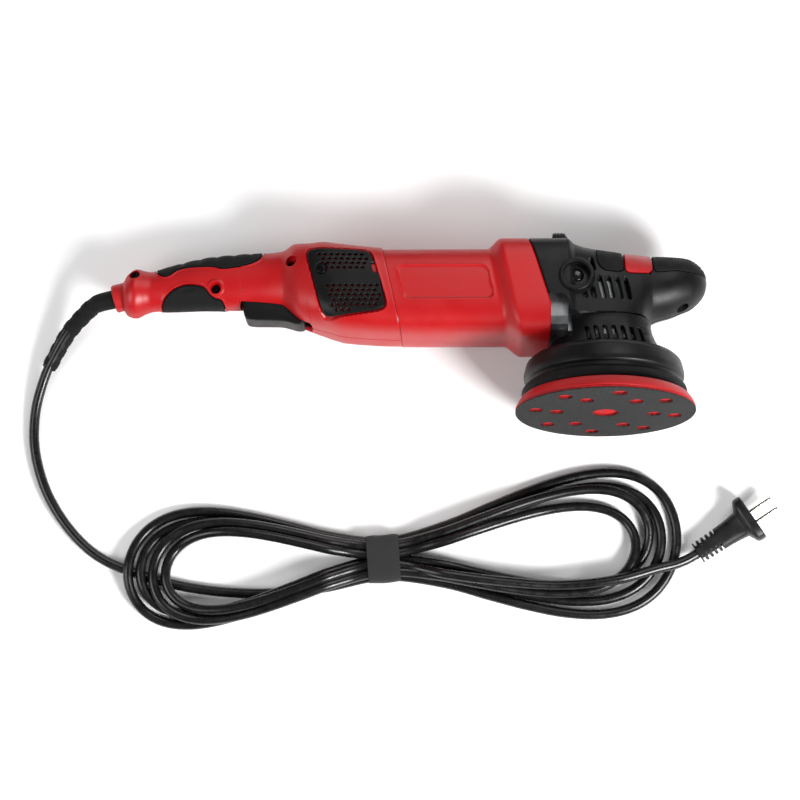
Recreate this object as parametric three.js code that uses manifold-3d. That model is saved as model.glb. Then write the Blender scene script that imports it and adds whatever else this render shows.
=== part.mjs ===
// A dual action polisher lying on its left side, with its mains cord tied in a hank in front of it.
// The tool is built in its own frame: the origin is where the spindle axis meets the motor axis,
// +X runs forward along the motor axis, +Y runs up the spindle away from the pad and +Z is the
// tool's right side. The whole tool is then laid on the bench. All sizes are in millimetres.
import * as THREE from 'three';
import { ConvexGeometry } from 'three/addons/geometries/ConvexGeometry.js';
import { ParametricGeometry } from 'three/addons/geometries/ParametricGeometry.js';
import { mergeVertices } from 'three/addons/utils/BufferGeometryUtils.js';
import Module from 'manifold-3d';

const wasm = await Module();
wasm.setup();

// ---- Driving dimensions ----
const GAP = 0.3; // between pieces that touch
const SHELL_WALL = 3.2;
const GRIP_DEPTH = 1.4; // how far the rubber is let into the shell
const GRIP_PROUD = 0.5; // how far it stands out
const COVER_DEPTH = 1.6; // how far a vent cover is let in
const COVER_PROUD = 0.7; // how far it stands out
const REACH = 120; // longer than any cut needs to be
const SKIN_SIDES = 20; // flats round the outside of a casing
const CAVITY_SIDES = 12; // and round its inside

// How the tool lies on the bench.
const ROLL = THREE.MathUtils.degToRad(12.3);
const PITCH = THREE.MathUtils.degToRad(1.89);
const REST_X = 138.05;
const REST_Y = 25.2;
const REST_Z = 42.74;

// Sections of the casings: x, centre height, half height, half width, squareness, lean.
const HANDLE = [
  [-341, 2.6, 10.6, 10.6, 2, 0],
  [-338, 3.2, 15, 15, 2, 0],
  [-332, 4.4, 17.6, 17.6, 2, 0],
  [-326, 5.1, 15.6, 15.6, 2, 0],
  [-320, 5.8, 14.4, 14, 2, 0],
  [-309, 7.5, 15.9, 14.5, 2.1, 0],
  [-277, 11.5, 19, 16, 2.2, 0],
  [-246, 12.4, 20.5, 17, 2.3, 0],
  [-228, 12.5, 21.5, 19, 2.5, 0.02],
  [-214, 9, 29, 27, 3, 0.12],
  [-200, 6, 31, 31.5, 3.5, 0.21],
  [-188, 4.4, 32.9, 32.5, 3.8, 0.21],
  [-166, 2, 32.5, 32, 3.8, 0.21],
  [-138, 0, 31.5, 31.5, 3.8, 0.21],
];
const MOTOR_HOUSING = [
  [-162, 0, 31.5, 31.5, 3.8, 0.22],
  [-76, 0, 31.5, 31.5, 3.8, 0.2],
  [-64.5, 0, 37, 37, 5, 0.2],
  [-25, 0, 37, 37, 5, 0.2],
];
const HEAD = [
  [-60, 0, 37, 37, 5, 0],
  [-26, 0, 37, 37, 5, 0],
  [-20, -10, 45.1, 35, 3.6, 0],
  [-12.6, -11, 44, 34, 3.4, 0],
  [4.4, -12.5, 43, 32.6, 3.2, 0],
  [13.4, -11, 40.7, 31, 2.9, 0],
  [25, -3, 32.3, 28, 2.4, 0],
  [34, 4.8, 24.3, 25, 2, 0],
  [49.5, 7.3, 21.4, 23, 2, 0],
  [61, 9, 18.4, 19, 2, 0],
  [68, 9.6, 13.6, 14, 2, 0],
  [72.5, 9.9, 7.6, 7.8, 2, 0],
  [74.5, 10, 2, 2, 2, 0],
];

const SEAM_X = -149; // seam between the rear handle and the motor housing, at the motor axis
const SEAM_SLOPE = 0.22;
const COLLAR_EDGE = [[-60.3, 60], [-37.9, -15], [-37.9, -60]]; // front edge of the motor housing
const SHROUD_TOP = -20.7;

// Drive train.
const PINION_TEETH = 10;
const GEAR_TEETH = 30;
const GEAR_RADIUS = 24; // pitch radius at the large end
const PINION_RADIUS = (GEAR_RADIUS * PINION_TEETH) / GEAR_TEETH;
const SHAFT_RADIUS = 4;
const SPINDLE_RADIUS = 6;
const ORBIT = 7.5; // the pad's axis runs this far from the spindle's
const PAD_RADIUS = 62.5;
const PAD_FACE = -87;

// Trigger hinge.
const TRIGGER_X = -216;
const TRIGGER_Y = -8;
const TRIGGER_HALF_WIDTH = 9.5;

// Cord.
const CORD_RADIUS = 3.6;
const TIE = new THREE.Vector2(-17.4, -159.8);
const HANK_SLOPE = 0.0715;
const HANK_TOP = 15.4;

const bench = new THREE.Group();
const tool = new THREE.Group();
tool.rotation.set(-ROLL, -PITCH, 0, 'YXZ');
tool.position.set(REST_X, REST_Y, REST_Z);
bench.add(tool);

// ---- Materials ----
const finish = (color, roughness, metalness = 0) =>
  new THREE.MeshStandardMaterial({ color, roughness, metalness });
const redPlastic = finish(0xc4161c, 0.42);
const blackPlastic = finish(0x18181a, 0.5);
const rubber = finish(0x232425, 0.8);
const aluminium = finish(0xb4b6b8, 0.45, 0.9);
const steel = finish(0x9a9c9f, 0.35, 1);
const copper = finish(0xb06a35, 0.4, 0.9);
const laminations = finish(0x5a5c60, 0.5, 0.8);
const carbon = finish(0x2a2a2c, 0.7);
const boardGreen = finish(0x1f5a38, 0.6);
const hookFabric = finish(0x26272a, 0.95);
const cordSheath = finish(0x141414, 0.4);

// ---- Solids from closed three.js geometry ----

// Welds a closed geometry's vertices and makes a solid of it, faces outwards.
function solid(geometry) {
  const bare = new THREE.BufferGeometry();
  bare.setAttribute('position', geometry.getAttribute('position'));
  bare.setIndex(geometry.getIndex());
  const welded = mergeVertices(bare, 1e-3);
  const vertProperties = welded.getAttribute('position').array;
  const triVerts = new Uint32Array(welded.getIndex().array);
  const made = new wasm.Manifold(new wasm.Mesh({ numProp: 3, vertProperties, triVerts }));
  if (made.volume() > 0) return made;
  const turned = triVerts.slice().reverse();
  return new wasm.Manifold(new wasm.Mesh({ numProp: 3, vertProperties, triVerts: turned }));
}

const box = (x0, x1, y0, y1, z0, z1) =>
  solid(new THREE.BoxGeometry(x1 - x0, y1 - y0, z1 - z0)
    .translate((x0 + x1) / 2, (y0 + y1) / 2, (z0 + z1) / 2));

const rodX = (radius, x0, x1, y = 0, z = 0, sides = 20) =>
  solid(new THREE.CylinderGeometry(radius, radius, x1 - x0, sides).rotateZ(Math.PI / 2)
    .translate((x0 + x1) / 2, y, z));

const rodY = (radius, y0, y1, x = 0, z = 0, sides = 20) =>
  solid(new THREE.CylinderGeometry(radius, radius, y1 - y0, sides).translate(x, (y0 + y1) / 2, z));

const rodZ = (radius, z0, z1, x, y, sides = 14) =>
  solid(new THREE.CylinderGeometry(radius, radius, Math.abs(z1 - z0), sides).rotateX(Math.PI / 2)
    .translate(x, y, (z0 + z1) / 2));

const asPoints = (pairs) => pairs.map(([a, b]) => new THREE.Vector2(a, b));

// A flat outline in the tool's side view, pushed across it from z0 to z1.
function prism(outline, z0, z1) {
  const shape = new THREE.Shape(asPoints(outline));
  return solid(new THREE.ExtrudeGeometry(shape, { depth: z1 - z0, bevelEnabled: false }).translate(0, 0, z0));
}

// A closed profile of [radius, height] turned about the spindle, or of [radius, x] about the motor axis.
const turnedY = (profile, sides = 28) => solid(new THREE.LatheGeometry(asPoints(profile), sides));
const turnedX = (profile, sides = 20) =>
  solid(new THREE.LatheGeometry(asPoints(profile), sides).rotateZ(-Math.PI / 2));
const ring = (inner, outer, low, high) =>
  [[inner, low], [outer, low], [outer, high], [inner, high], [inner, low]];

// A point of a superellipse: round at squareness 2, closer to a rounded square above it.
function superellipse(angle, squareness) {
  const bend = (value) => Math.sign(value) * Math.abs(value) ** (2 / squareness);
  return [bend(Math.cos(angle)), bend(Math.sin(angle))];
}

// A closed body through superellipse sections, each made smaller all round by inset.
function loft(sections, sides, inset = 0) {
  const kept = sections.filter(([, , high, wide]) => Math.min(high, wide) > inset + 2 * Math.sign(inset));
  const rows = kept.length + 1;
  const surface = (u, v, target) => {
    const row = Math.round(v * rows);
    const [x, centre, high, wide, square, lean] = kept[THREE.MathUtils.clamp(row - 1, 0, kept.length - 1)];
    const open = row > 0 && row < rows ? 1 : 0;
    const [across, up] = superellipse(u * 2 * Math.PI, square);
    const y = centre + open * up * (high - inset);
    target.set(x - lean * y, y, open * across * (wide - inset));
  };
  return solid(new ParametricGeometry(surface, sides, rows));
}

const joined = (bodies) => bodies.reduce((all, next) => all.add(next));

// An outline moved outwards all round, for a pocket that clears what sits in it.
function grown(outline, by) {
  const points = asPoints(outline);
  const turn = THREE.ShapeUtils.isClockWise(points) ? -1 : 1;
  return points.map((point, n) => {
    const before = point.clone().sub(points.at(n - 1)).normalize();
    const after = points[(n + 1) % points.length].clone().sub(point).normalize();
    const outward = new THREE.Vector2(before.y + after.y, -before.x - after.x).normalize();
    const reach = (turn * by) / Math.max(outward.dot(new THREE.Vector2(after.y, -after.x)), 0.5);
    return [point.x + outward.x * reach, point.y + outward.y * reach];
  });
}

// The right (side 1) or left (side -1) half of a body, clear of the centre plane.
function half(body, side) {
  const near = side * (GAP / 2);
  const far = side * REACH;
  return body.intersect(box(-500, 200, -REACH, REACH, Math.min(near, far), Math.max(near, far)));
}

// What lies in front of a leaning plane across the motor axis.
const aheadOf = (x, slope) =>
  prism([[x - slope * 60, 60], [x + slope * 60, -60], [x + 400, -60], [x + 400, 60]], -REACH, REACH);

function piece(name, body, material, group = tool) {
  const data = body.getMesh();
  const geometry = new THREE.BufferGeometry();
  geometry.setAttribute('position', new THREE.BufferAttribute(data.vertProperties, 3));
  geometry.setIndex(new THREE.BufferAttribute(data.triVerts, 1));
  geometry.computeVertexNormals();
  const mesh = new THREE.Mesh(geometry, material);
  mesh.name = name;
  group.add(mesh);
}

const sides = [['right', 1], ['left', -1]];

// ---- Rear handle ----

// Screws that hold the two handle shells together: x, height, how deep the head sits, depth of the tip.
const HANDLE_SCREWS = { rear: [-332.4, 14.6, 8, -8], middle: [-274, 3.7, 10, -11], front: [-219.8, 20.3, 13, -14] };

const UPPER_GRIP = [[-318.2, 40], [-318.2, 18.9], [-313.5, 13.3], [-307.8, 12.6], [-303.6, 17.3], [-296, 19.8],
  [-275.2, 20], [-270, 17.6], [-258.2, 19.2], [-248.7, 21.7], [-243.5, 24.6], [-241.3, 29], [-241.3, 45]];
const LOWER_GRIP = [[-313.5, -30], [-313.5, -11], [-312, -5.3], [-307.3, 0.6], [-300.7, 5], [-294.1, 6.7],
  [-286.6, 5.9], [-282.3, 4.5], [-279.5, 0.6], [-275.2, -3.3], [-270.5, -3.8], [-268.6, -6.7], [-267.2, -12],
  [-267.2, -30]];
const VENT_COVER = [[-205.5, 28], [-166, 26.4], [-162.6, 23], [-151.6, -15], [-155, -18.6], [-192.5, -23.4],
  [-197.4, -20], [-209.4, 24.4]];
const VENT_SCREW_X = -198;
const VENT_SCREW_Y = 11.6;
const VENT_WINDOW = [[-190, 22], [-170, 22], [-160, -9], [-186, -13]];
const TRIGGER = [[-256, -3], [-253.5, -16.6], [-250, -18.2], [-226, -18.8], [-214, -22.5], [-210, -20], [-211, -9],
  [-216, -3]];

function handleShells() {
  const skin = loft(HANDLE, SKIN_SIDES);
  const cavity = loft(HANDLE, CAVITY_SIDES, SHELL_WALL).intersect(box(-336, -100, -60, 60, -60, 60));
  const collar = solid(new THREE.CylinderGeometry(9.9, 9.9, 12, 20)
    .rotateZ(Math.PI / 2 + THREE.MathUtils.degToRad(15)).translate(-342.6, 1.9, 0));
  const cordHole = solid(new THREE.CylinderGeometry(7.3, 7.3, 40, 20)
    .rotateZ(Math.PI / 2 + THREE.MathUtils.degToRad(15)).translate(-342.6, 1.9, 0));
  const gripPocket = joined([UPPER_GRIP, LOWER_GRIP].map((outline) => prism(grown(outline, GAP), -60, 60)))
    .subtract(loft(HANDLE, SKIN_SIDES, GRIP_DEPTH + GAP));
  const ventPocket = prism(grown(VENT_COVER, GAP), -60, 60).subtract(loft(HANDLE, SKIN_SIDES, COVER_DEPTH + GAP));
  const triggerSlot = prism(grown(TRIGGER, 0.6), -TRIGGER_HALF_WIDTH - GAP, TRIGGER_HALF_WIDTH + GAP)
    .add(box(-256.6, -212, -4, 4, -TRIGGER_HALF_WIDTH - GAP, TRIGGER_HALF_WIDTH + GAP));
  const shell = skin.add(collar).subtract(cavity).subtract(cordHole).subtract(gripPocket)
    .subtract(ventPocket).subtract(prism(VENT_WINDOW, -60, 60)).subtract(triggerSlot)
    .subtract(aheadOf(SEAM_X - GAP / 2, SEAM_SLOPE));
  for (const [name, side] of sides) {
    let body = half(shell, side);
    for (const [x, y, seat, tip] of Object.values(HANDLE_SCREWS)) {
      const post = rodZ(4.6, side * GAP / 2, side * 40, x, y).intersect(skin);
      body = body.add(post).subtract(rodZ(1.8, -30, side > 0 ? seat : -tip + GAP, x, y)
        .intersect(box(-400, 0, -60, 60, side > 0 ? -1 : tip - GAP, 60)));
      if (side > 0) body = body.subtract(rodZ(3.4, seat, 60, x, y));
    }
    const lug = rodZ(4.2, side * 10.6, side * 40, TRIGGER_X, TRIGGER_Y).intersect(skin);
    body = body.add(lug).subtract(rodZ(2.3, side * 10, side * 14, TRIGGER_X, TRIGGER_Y));
    const ventPost = rodZ(4.6, side * 20, side * 40, VENT_SCREW_X, VENT_SCREW_Y)
      .intersect(loft(HANDLE, SKIN_SIDES, COVER_DEPTH + GAP));
    body = body.add(ventPost).subtract(rodZ(1.8, side * 22, side * 40, VENT_SCREW_X, VENT_SCREW_Y));
    if (side < 0) body = body.subtract(box(-216, -190, 20, 60, -17.8, -10));
    piece('handle_shell_' + name, body, redPlastic);
  }
}

function handleGrips() {
  const band = loft(HANDLE, SKIN_SIDES, -GRIP_PROUD).subtract(loft(HANDLE, SKIN_SIDES, GRIP_DEPTH));
  for (const [name, side] of sides) {
    piece('upper_grip_' + name, half(band.intersect(prism(UPPER_GRIP, -60, 60)), side), rubber);
    piece('lower_grip_' + name, half(band.intersect(prism(LOWER_GRIP, -60, 60)), side), rubber);
  }
}

// Each row of vent holes is one slot here, at the same place and with about the same open area.
function ventCovers() {
  const plate = loft(HANDLE, SKIN_SIDES, -COVER_PROUD).subtract(loft(HANDLE, SKIN_SIDES, COVER_DEPTH))
    .intersect(prism(VENT_COVER, -60, 60));
  const rows = [20, 16.6, -1.5, -5, -8.5];
  const slots = joined(rows.map((y) => {
    const lean = -0.21 * y;
    return prism([[-189 + lean, y - 1], [-165 + lean, y - 1], [-165 + lean, y + 1], [-189 + lean, y + 1]], -60, 60);
  }));
  for (const [name, side] of sides) {
    const screwSeat = rodZ(4.3, side * 31.4, side * 60, VENT_SCREW_X, VENT_SCREW_Y);
    const screwHole = rodZ(1.8, side * 20, side * 60, VENT_SCREW_X, VENT_SCREW_Y);
    piece('vent_cover_' + name, half(plate, side).subtract(slots).subtract(screwSeat).subtract(screwHole),
      blackPlastic);
    const shank = rodZ(1.5, side * 22.6, side * 31.8, VENT_SCREW_X, VENT_SCREW_Y, 10);
    const head = rodZ(3.6, side * 31.7, side * 32.6, VENT_SCREW_X, VENT_SCREW_Y);
    piece('vent_screw_' + name, shank.add(head), steel);
  }
}

function handleScrews() {
  for (const [name, [x, y, seat, tip]] of Object.entries(HANDLE_SCREWS)) {
    const shank = rodZ(1.5, tip, seat + 1, x, y, 10);
    piece('handle_screw_' + name, shank.add(rodZ(3, seat + GAP, seat + 2.4, x, y)), steel);
  }
}

function switchGear() {
  const stubs = rodZ(2, -13.4, 13.4, TRIGGER_X, TRIGGER_Y);
  piece('trigger', prism(TRIGGER, -TRIGGER_HALF_WIDTH, TRIGGER_HALF_WIDTH).add(stubs), blackPlastic);
  piece('switch_module', box(-252, -226, 8, 22, -8, 8).add(box(-244, -238, 4.5, 8, -3, 3)), blackPlastic);
  const controlBoard = box(-208, -182, -12, 31, -7.6, -6).add(box(-200, -186, -8, 12, -6, 6));
  piece('speed_control_board', controlBoard.add(rodZ(5, -9.6, -7, -203, 26, 14)), boardGreen);
  piece('speed_dial', rodZ(11, -17, -10.9, -203, 26.8, 24), blackPlastic);
  piece('cord_clamp', box(-324, -316, -1.5, 1.5, -7.5, 7.5), steel);
}

// ---- Motor ----

function motorHousing() {
  const cavity = loft([[-170, 0, 28.5, 28.5, 3.8, 0.22], [-78, 0, 28.5, 28.5, 3.8, 0.2],
    [-66.5, 0, 34, 34, 5, 0.2], [-20, 0, 34, 34, 5, 0.2]], 20);
  const bulkhead = loft([[-142, 0, 29.5, 29.5, 3.8, 0], [-138.6, 0, 29.5, 29.5, 3.8, 0]], 20);
  const brushTube = turnedX([[17.5, -140], [20, -140], [20, -178], [5, -178], [5, -175], [11.4, -175],
    [11.4, -167], [17.5, -164], [17.5, -140]]);
  const front = prism([...COLLAR_EDGE, [60, -60], [60, 60]], -REACH, REACH);
  const behind = prism([[SEAM_X + GAP / 2 - SEAM_SLOPE * 60, 60], [SEAM_X + GAP / 2 + SEAM_SLOPE * 60, -60],
    [-300, -60], [-300, 60]], -REACH, REACH);
  const label = [[-145, 14], [-82, 14], [-77, -10], [-140, -10]];
  const labelRecess = prism(label, 30.8, 60).add(prism(label, -60, -30.8));
  const tube = loft(MOTOR_HOUSING, SKIN_SIDES).subtract(cavity).subtract(front).subtract(behind)
    .subtract(labelRecess);
  const carrier = bulkhead.add(brushTube).subtract(rodX(17.5, -163, -130))
    .subtract(box(-156, -148, 10, 30, -4.6, 4.6)).subtract(box(-156, -148, -30, -10, -4.6, 4.6));
  piece('motor_housing', tube.add(carrier), redPlastic);
}

function motorParts() {
  const wires = [21.6, -21.6].map((z) => rodX(2.4, -136, -88, 0, z, 8));
  const holes = [21.6, -21.6].map((z) => rodX(2.8, -140, -80, 0, z, 8));
  piece('stator_core', turnedX(ring(17.3, 27.4, -132, -94)).subtract(joined(holes)), laminations);
  piece('field_winding', joined([turnedX(ring(18.4, 25, -137.6, -132.4)), turnedX(ring(18.4, 25, -93.6, -89)),
    ...wires]), copper);
  piece('carbon_brush_upper', box(-155, -149, 11.5, 23, -4, 4), carbon);
  piece('carbon_brush_lower', box(-155, -149, -23, -11.5, -4, 4), carbon);
  piece('armature_bearing_rear', turnedX(ring(4.4, 11, -174.6, -167.6), 16), steel);
  piece('armature_bearing_front', turnedX(ring(4.4, 12.4, -66, -58.4), 20), steel);
  piece('armature_shaft', rodX(SHAFT_RADIUS, -174, -15, 0, 0, 14), steel);
  piece('armature_core', turnedX(ring(4.3, 16.4, -132, -94)), laminations);
  piece('commutator', turnedX(ring(4.3, 11, -158, -146), 20), copper);
  const blades = [0, 60, 120, 180, 240, 300].map((turn) =>
    box(-86, -79.5, 9, 25, -0.8, 0.8).rotate([turn, 0, 0]));
  const fanDisc = turnedX(ring(4.3, 26, -80, -77.6));
  piece('cooling_fan', joined([turnedX(ring(4.3, 10, -87, -77)), fanDisc, ...blades]), blackPlastic);
}

// ---- Gearbox and head ----

function gearboxHousing() {
  const plate = loft([[-57, 0, 32.6, 32.6, 5, 0], [-44, 0, 32.6, 32.6, 5, 0]], SKIN_SIDES)
    .subtract(prism([[-52.6, 60], [-37.6, 9], [-20, 9], [-20, 60]], -REACH, REACH));
  const neck = loft([[-50, -3.3, 30, 27.4, 5, 0], [-15, -3.3, 30, 27.4, 5, 0]], SKIN_SIDES)
    .subtract(box(-25.5, 0, -60, 60, 21, 60)).subtract(box(-25.5, 0, -60, 60, -60, -21));
  const head = turnedY([[0, -36], [28, -36], [28, 3], [24, 12], [16.5, 18], [16.5, 21.5], [0, 21.5]]);
  const nose = turnedX(ring(12.8, 15.5, -69, -56), 20);
  const gearRoom = turnedY([[0, -19.5], [25.6, -19.5], [25.6, -2], [20, 10], [12, 12], [0, 12]]);
  const body = joined([plate, neck, head]).subtract(rodX(12.8, -80, -57.9)).add(nose)
    .subtract(gearRoom).subtract(rodX(10.6, -90, 0)).subtract(rodY(13.3, 9, 20.3))
    .subtract(rodY(16.3, -30.3, -19)).subtract(rodY(12, -40, -29));
  piece('gearbox_housing', body, aluminium);
  piece('spindle_bearing_upper', turnedY(ring(6.4, 13, 12.6, 19.8), 18), steel);
  piece('spindle_bearing_lower', turnedY(ring(6.4, 16, -30, -21.4), 18), steel);
}

// The head cover's edge above the bare flank of the gearbox, and its parting line with the shroud.
const COVER_BELOW = [[-70, -9], [-29, -9], [-25.4, -12.5], [-24.2, SHROUD_TOP], [33.6, SHROUD_TOP], [33.6, -60],
  [-70, -60]];
const PAD_DEPTH = 1.8;
const PAD_REAR = [[-5.4, 45], [-4.8, 16], [-1.5, 10.6], [3, 9.3], [14.1, 9.4], [14.1, 45]];
const PAD_INLAY = [[14.4, 45], [14.6, 8.6], [34.2, 9.8], [34.5, 45]];
const PAD_FRONT = [[34.8, 45], [34.8, 10.6], [50, 13], [65, 12.3], [80, 12.5], [80, 45]];
const BOSS_X = -19.9;
const BOSS_Y = 4.8;

// Slots that lean forward at the top, cut into one flank: x of the first, pitch, count, foot, top and width.
function slots(first, pitch, count, foot, top, width, side, depth) {
  const lean = -0.2 * (top - foot);
  return joined(Array.from({ length: count }, (_, n) => {
    const x = first + n * pitch;
    const outline = [[x - lean / 2, foot], [x - lean / 2 + width, foot], [x + lean / 2 + width, top],
      [x + lean / 2, top]];
    return prism(outline, side > 0 ? depth : -60, side > 0 ? 60 : -depth);
  }));
}

function frontCovers() {
  const skin = loft(HEAD, SKIN_SIDES);
  const padded = joined([PAD_REAR, PAD_INLAY, PAD_FRONT].map((outline) => prism(grown(outline, GAP), -60, 60)));
  const pocket = padded.subtract(loft(HEAD, SKIN_SIDES, PAD_DEPTH + GAP));
  const collarEdge = COLLAR_EDGE.map(([x, y]) => [x + GAP, y]);
  const behind = prism([...collarEdge, [-200, -60], [-200, 60]], -REACH, REACH);
  const rib = box(-35.4, -26.8, 34, 42.6, -22, 22);
  const shell = skin.add(rib).subtract(loft(HEAD, CAVITY_SIDES, 3.4)).subtract(behind).subtract(pocket)
    .subtract(prism(COVER_BELOW, -REACH, REACH)).subtract(box(-70, -57, -60, 60, -60, 60));
  for (const [name, side] of sides) {
    const boss = rodZ(12, side * 28.4, side * 39.4, BOSS_X, BOSS_Y, 24);
    const nosePost = rodY(4.6, -20, 25, 56, side * 7, 12).intersect(loft(HEAD, CAVITY_SIDES, 1));
    const body = half(shell, side).add(boss).subtract(rodZ(9, side * 32.4, side * 60, BOSS_X, BOSS_Y, 24))
      .add(nosePost.intersect(box(40, 70, -60, 22, side > 0 ? 0.15 : -40, side > 0 ? 40 : -0.15)))
      .subtract(rodY(3.6, -40, -4, 56, side * 7, 12)).subtract(rodY(1.8, -5, 14, 56, side * 7, 12))
      .subtract(slots(-4, 6.1, 4, -11.4, 5.4, 3, side, 20))
      .subtract(slots(-16, 6.1, 2, -11.4, -3.4, 3, side, 28.4))
      .subtract(slots(-10, 6.1, 1, 9.4, 20.4, 2.6, side, 20));
    piece('front_cover_' + name, body, blackPlastic);
    const plugDome = rodZ(5.4, side * 32.7, side * 36.6, BOSS_X, BOSS_Y, 18);
    piece('side_handle_plug_' + name, plugDome, blackPlastic);
    const screw = rodY(1.5, -5, 12, 56, side * 7, 10).add(rodY(3.2, -6.6, -4.3, 56, side * 7, 12));
    piece('nose_screw_' + name, screw, steel);
  }
  const skinBand = skin.subtract(loft(HEAD, SKIN_SIDES, PAD_DEPTH));
  piece('front_grip_pad_rear', skinBand.intersect(prism(PAD_REAR, -60, 60)), rubber);
  piece('front_grip_inlay', skinBand.intersect(prism(PAD_INLAY, -60, 60)), redPlastic);
  piece('front_grip_pad_front', skinBand.intersect(prism(PAD_FRONT, -60, 60)), rubber);
}

// ---- Shroud, orbit drive and pad ----

function shroudAndSkirt() {
  const bell = turnedY([[34, -21], [34, -23], [37, -33], [42, -43], [46.4, -44.2], [54, -50], [56.5, -58.5],
    [55.2, -62.3], [54, -63], [54, -65.7], [51.4, -65.7], [52.8, -58.5], [50.4, -52], [44, -47.2], [39, -45.6],
    [34.3, -33.6], [31.5, -23.4], [31.5, -21], [34, -21]], 28);
  const floor = turnedY(ring(13.5, 37, -39.4, -36.4), 28);
  const notch = prism([[-90, -38.9], [-37.3, -38.9], [-37.3, -36.2], [-14.6, -36.2], [-14.6, 10], [-90, 10]],
    -REACH, REACH);
  const vents = sides.map(([, side]) => slots(-13, 6.2, 7, -45.5, -33.5, 2.5, side, 24));
  piece('shroud', bell.subtract(notch).add(floor).subtract(joined(vents)), blackPlastic);
  piece('rubber_skirt', turnedY([[51.4, -66], [54.6, -66], [57, -68], [58, -71], [57.4, -74], [55.6, -75.4],
    [53.4, -75.2], [53.4, -69.4], [51.4, -69.4], [51.4, -66]], 28), rubber);
}

// One tooth of a straight bevel gear. Its large end is on the pitch cone at the given radius and distance along
// the axis from the cone's tip, and it shrinks towards the tip.
function bevelTooth(radius, along, tipRise, rootDrop, halfTip, halfRoot) {
  const length = Math.hypot(radius, along);
  const [nr, na] = [along / length, radius / length];
  const points = [];
  for (const scale of [1, 0.667]) {
    for (const [rise, halfWidth] of [[tipRise, halfTip], [-rootDrop, halfRoot]]) {
      const r = (radius + nr * rise) * scale;
      const a = (along - na * rise) * scale;
      points.push(new THREE.Vector3(r, -a, halfWidth * scale), new THREE.Vector3(r, -a, -halfWidth * scale));
    }
  }
  return solid(new ConvexGeometry(points));
}

function bevelGears() {
  const gearTooth = bevelTooth(GEAR_RADIUS, PINION_RADIUS, 0.9, 2.9, 0.55, 0.95);
  const wheel = turnedY([[6.3, -18.8], [12, -18.8], [14, -14.5], [23, -13.2], [23.4, -10.2], [15.5, -6.9],
    [12, -6.9], [12, -5.2], [6.3, -5.2], [6.3, -18.8]], 30);
  const gearStep = 360 / GEAR_TEETH;
  const gearTeeth = Array.from({ length: GEAR_TEETH }, (_, n) => gearTooth.rotate([0, (n + 0.5) * gearStep, 0]));
  piece('bevel_gear', joined([wheel, ...gearTeeth]), steel);
  const pinionTooth = bevelTooth(PINION_RADIUS, GEAR_RADIUS, 0.9, 2, 0.55, 0.95).rotate([0, 0, -90]);
  const core = turnedX([[4.3, -26], [6.4, -26], [6.4, -24], [4.6, -15.8], [4.3, -15.8], [4.3, -26]], 20);
  const pinionStep = 360 / PINION_TEETH;
  const pinionTeeth = Array.from({ length: PINION_TEETH }, (_, n) => pinionTooth.rotate([n * pinionStep, 0, 0]));
  piece('bevel_pinion', joined([core, ...pinionTeeth]), steel);
}

function orbitDrive() {
  piece('spindle_shaft', rodY(SPINDLE_RADIUS, -50, 19, 0, 0, 20), steel);
  const hub = rodY(14, -56, -43);
  const carrier = rodY(16.8, -66.4, -52.5, 0, ORBIT);
  const lobe = rodY(40, -61.5, -52.5, 0, 0, 32).intersect(box(-50, 50, -70, -40, -50, -3));
  const weight = joined([hub, carrier, lobe]).subtract(rodY(6.4, -50.4, -40, 0, 0, 20))
    .subtract(rodY(13.3, -70, -56.6, 0, ORBIT));
  piece('counterweight', weight, steel);
  piece('orbit_bearing', turnedY(ring(6.5, 13, -66, -57.2), 18).translate([0, 0, ORBIT]), steel);
  const shank = rodY(6.2, -68, -57.2, 0, ORBIT, 20);
  const flange = rodY(12, -72.2, -67.4, 0, ORBIT, 24);
  piece('pad_spindle', shank.add(flange).subtract(rodY(4.3, -80, -60, 0, ORBIT, 14)), steel);
}

// The holes in the pad: a centre hole and two rings of dust holes, round the pad's own axis.
function padHoles(depth) {
  const inner = Array.from({ length: 6 }, (_, n) => [34, 55.5 + 60 * n]);
  const outer = Array.from({ length: 8 }, (_, n) => [49, -8 + 45 * n]);
  const round = [...inner, ...outer].map(([radius, degrees]) => {
    const angle = THREE.MathUtils.degToRad(degrees);
    return rodY(4.5, -90, depth, radius * Math.cos(angle), ORBIT + radius * Math.sin(angle), 8);
  });
  return joined([rodY(8.5, -90, depth, 0, ORBIT, 12), ...round]);
}

function pad() {
  const profile = [[5, -84.8], [62.5, -84.8], [60.6, -80.5], [57, -76.6], [22, -76.6], [20, -72.6], [5, -72.6],
    [5, -84.8]];
  const plate = turnedY(profile, 36).translate([0, 0, ORBIT]).subtract(padHoles(-80.6));
  piece('backing_plate', plate, redPlastic);
  const disc = rodY(PAD_RADIUS, PAD_FACE, -85.1, 0, ORBIT, 36).subtract(padHoles(-80));
  piece('hook_disc', disc, hookFabric);
  const bolt = rodY(4, -81, -61, 0, ORBIT, 14).add(rodY(7.6, -84, -80.9, 0, ORBIT, 6));
  piece('pad_bolt', bolt, steel);
}

// ---- Cord, laid on the bench: points by hand, except for the hank, whose loops follow a formula ----

const onBench = (points) => points.map(([x, y, z]) => new THREE.Vector3(x, y, z));
tool.updateMatrixWorld(true);
const onTool = (x, y, z) => new THREE.Vector3(x, y, z).applyMatrix4(tool.matrixWorld);

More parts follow.
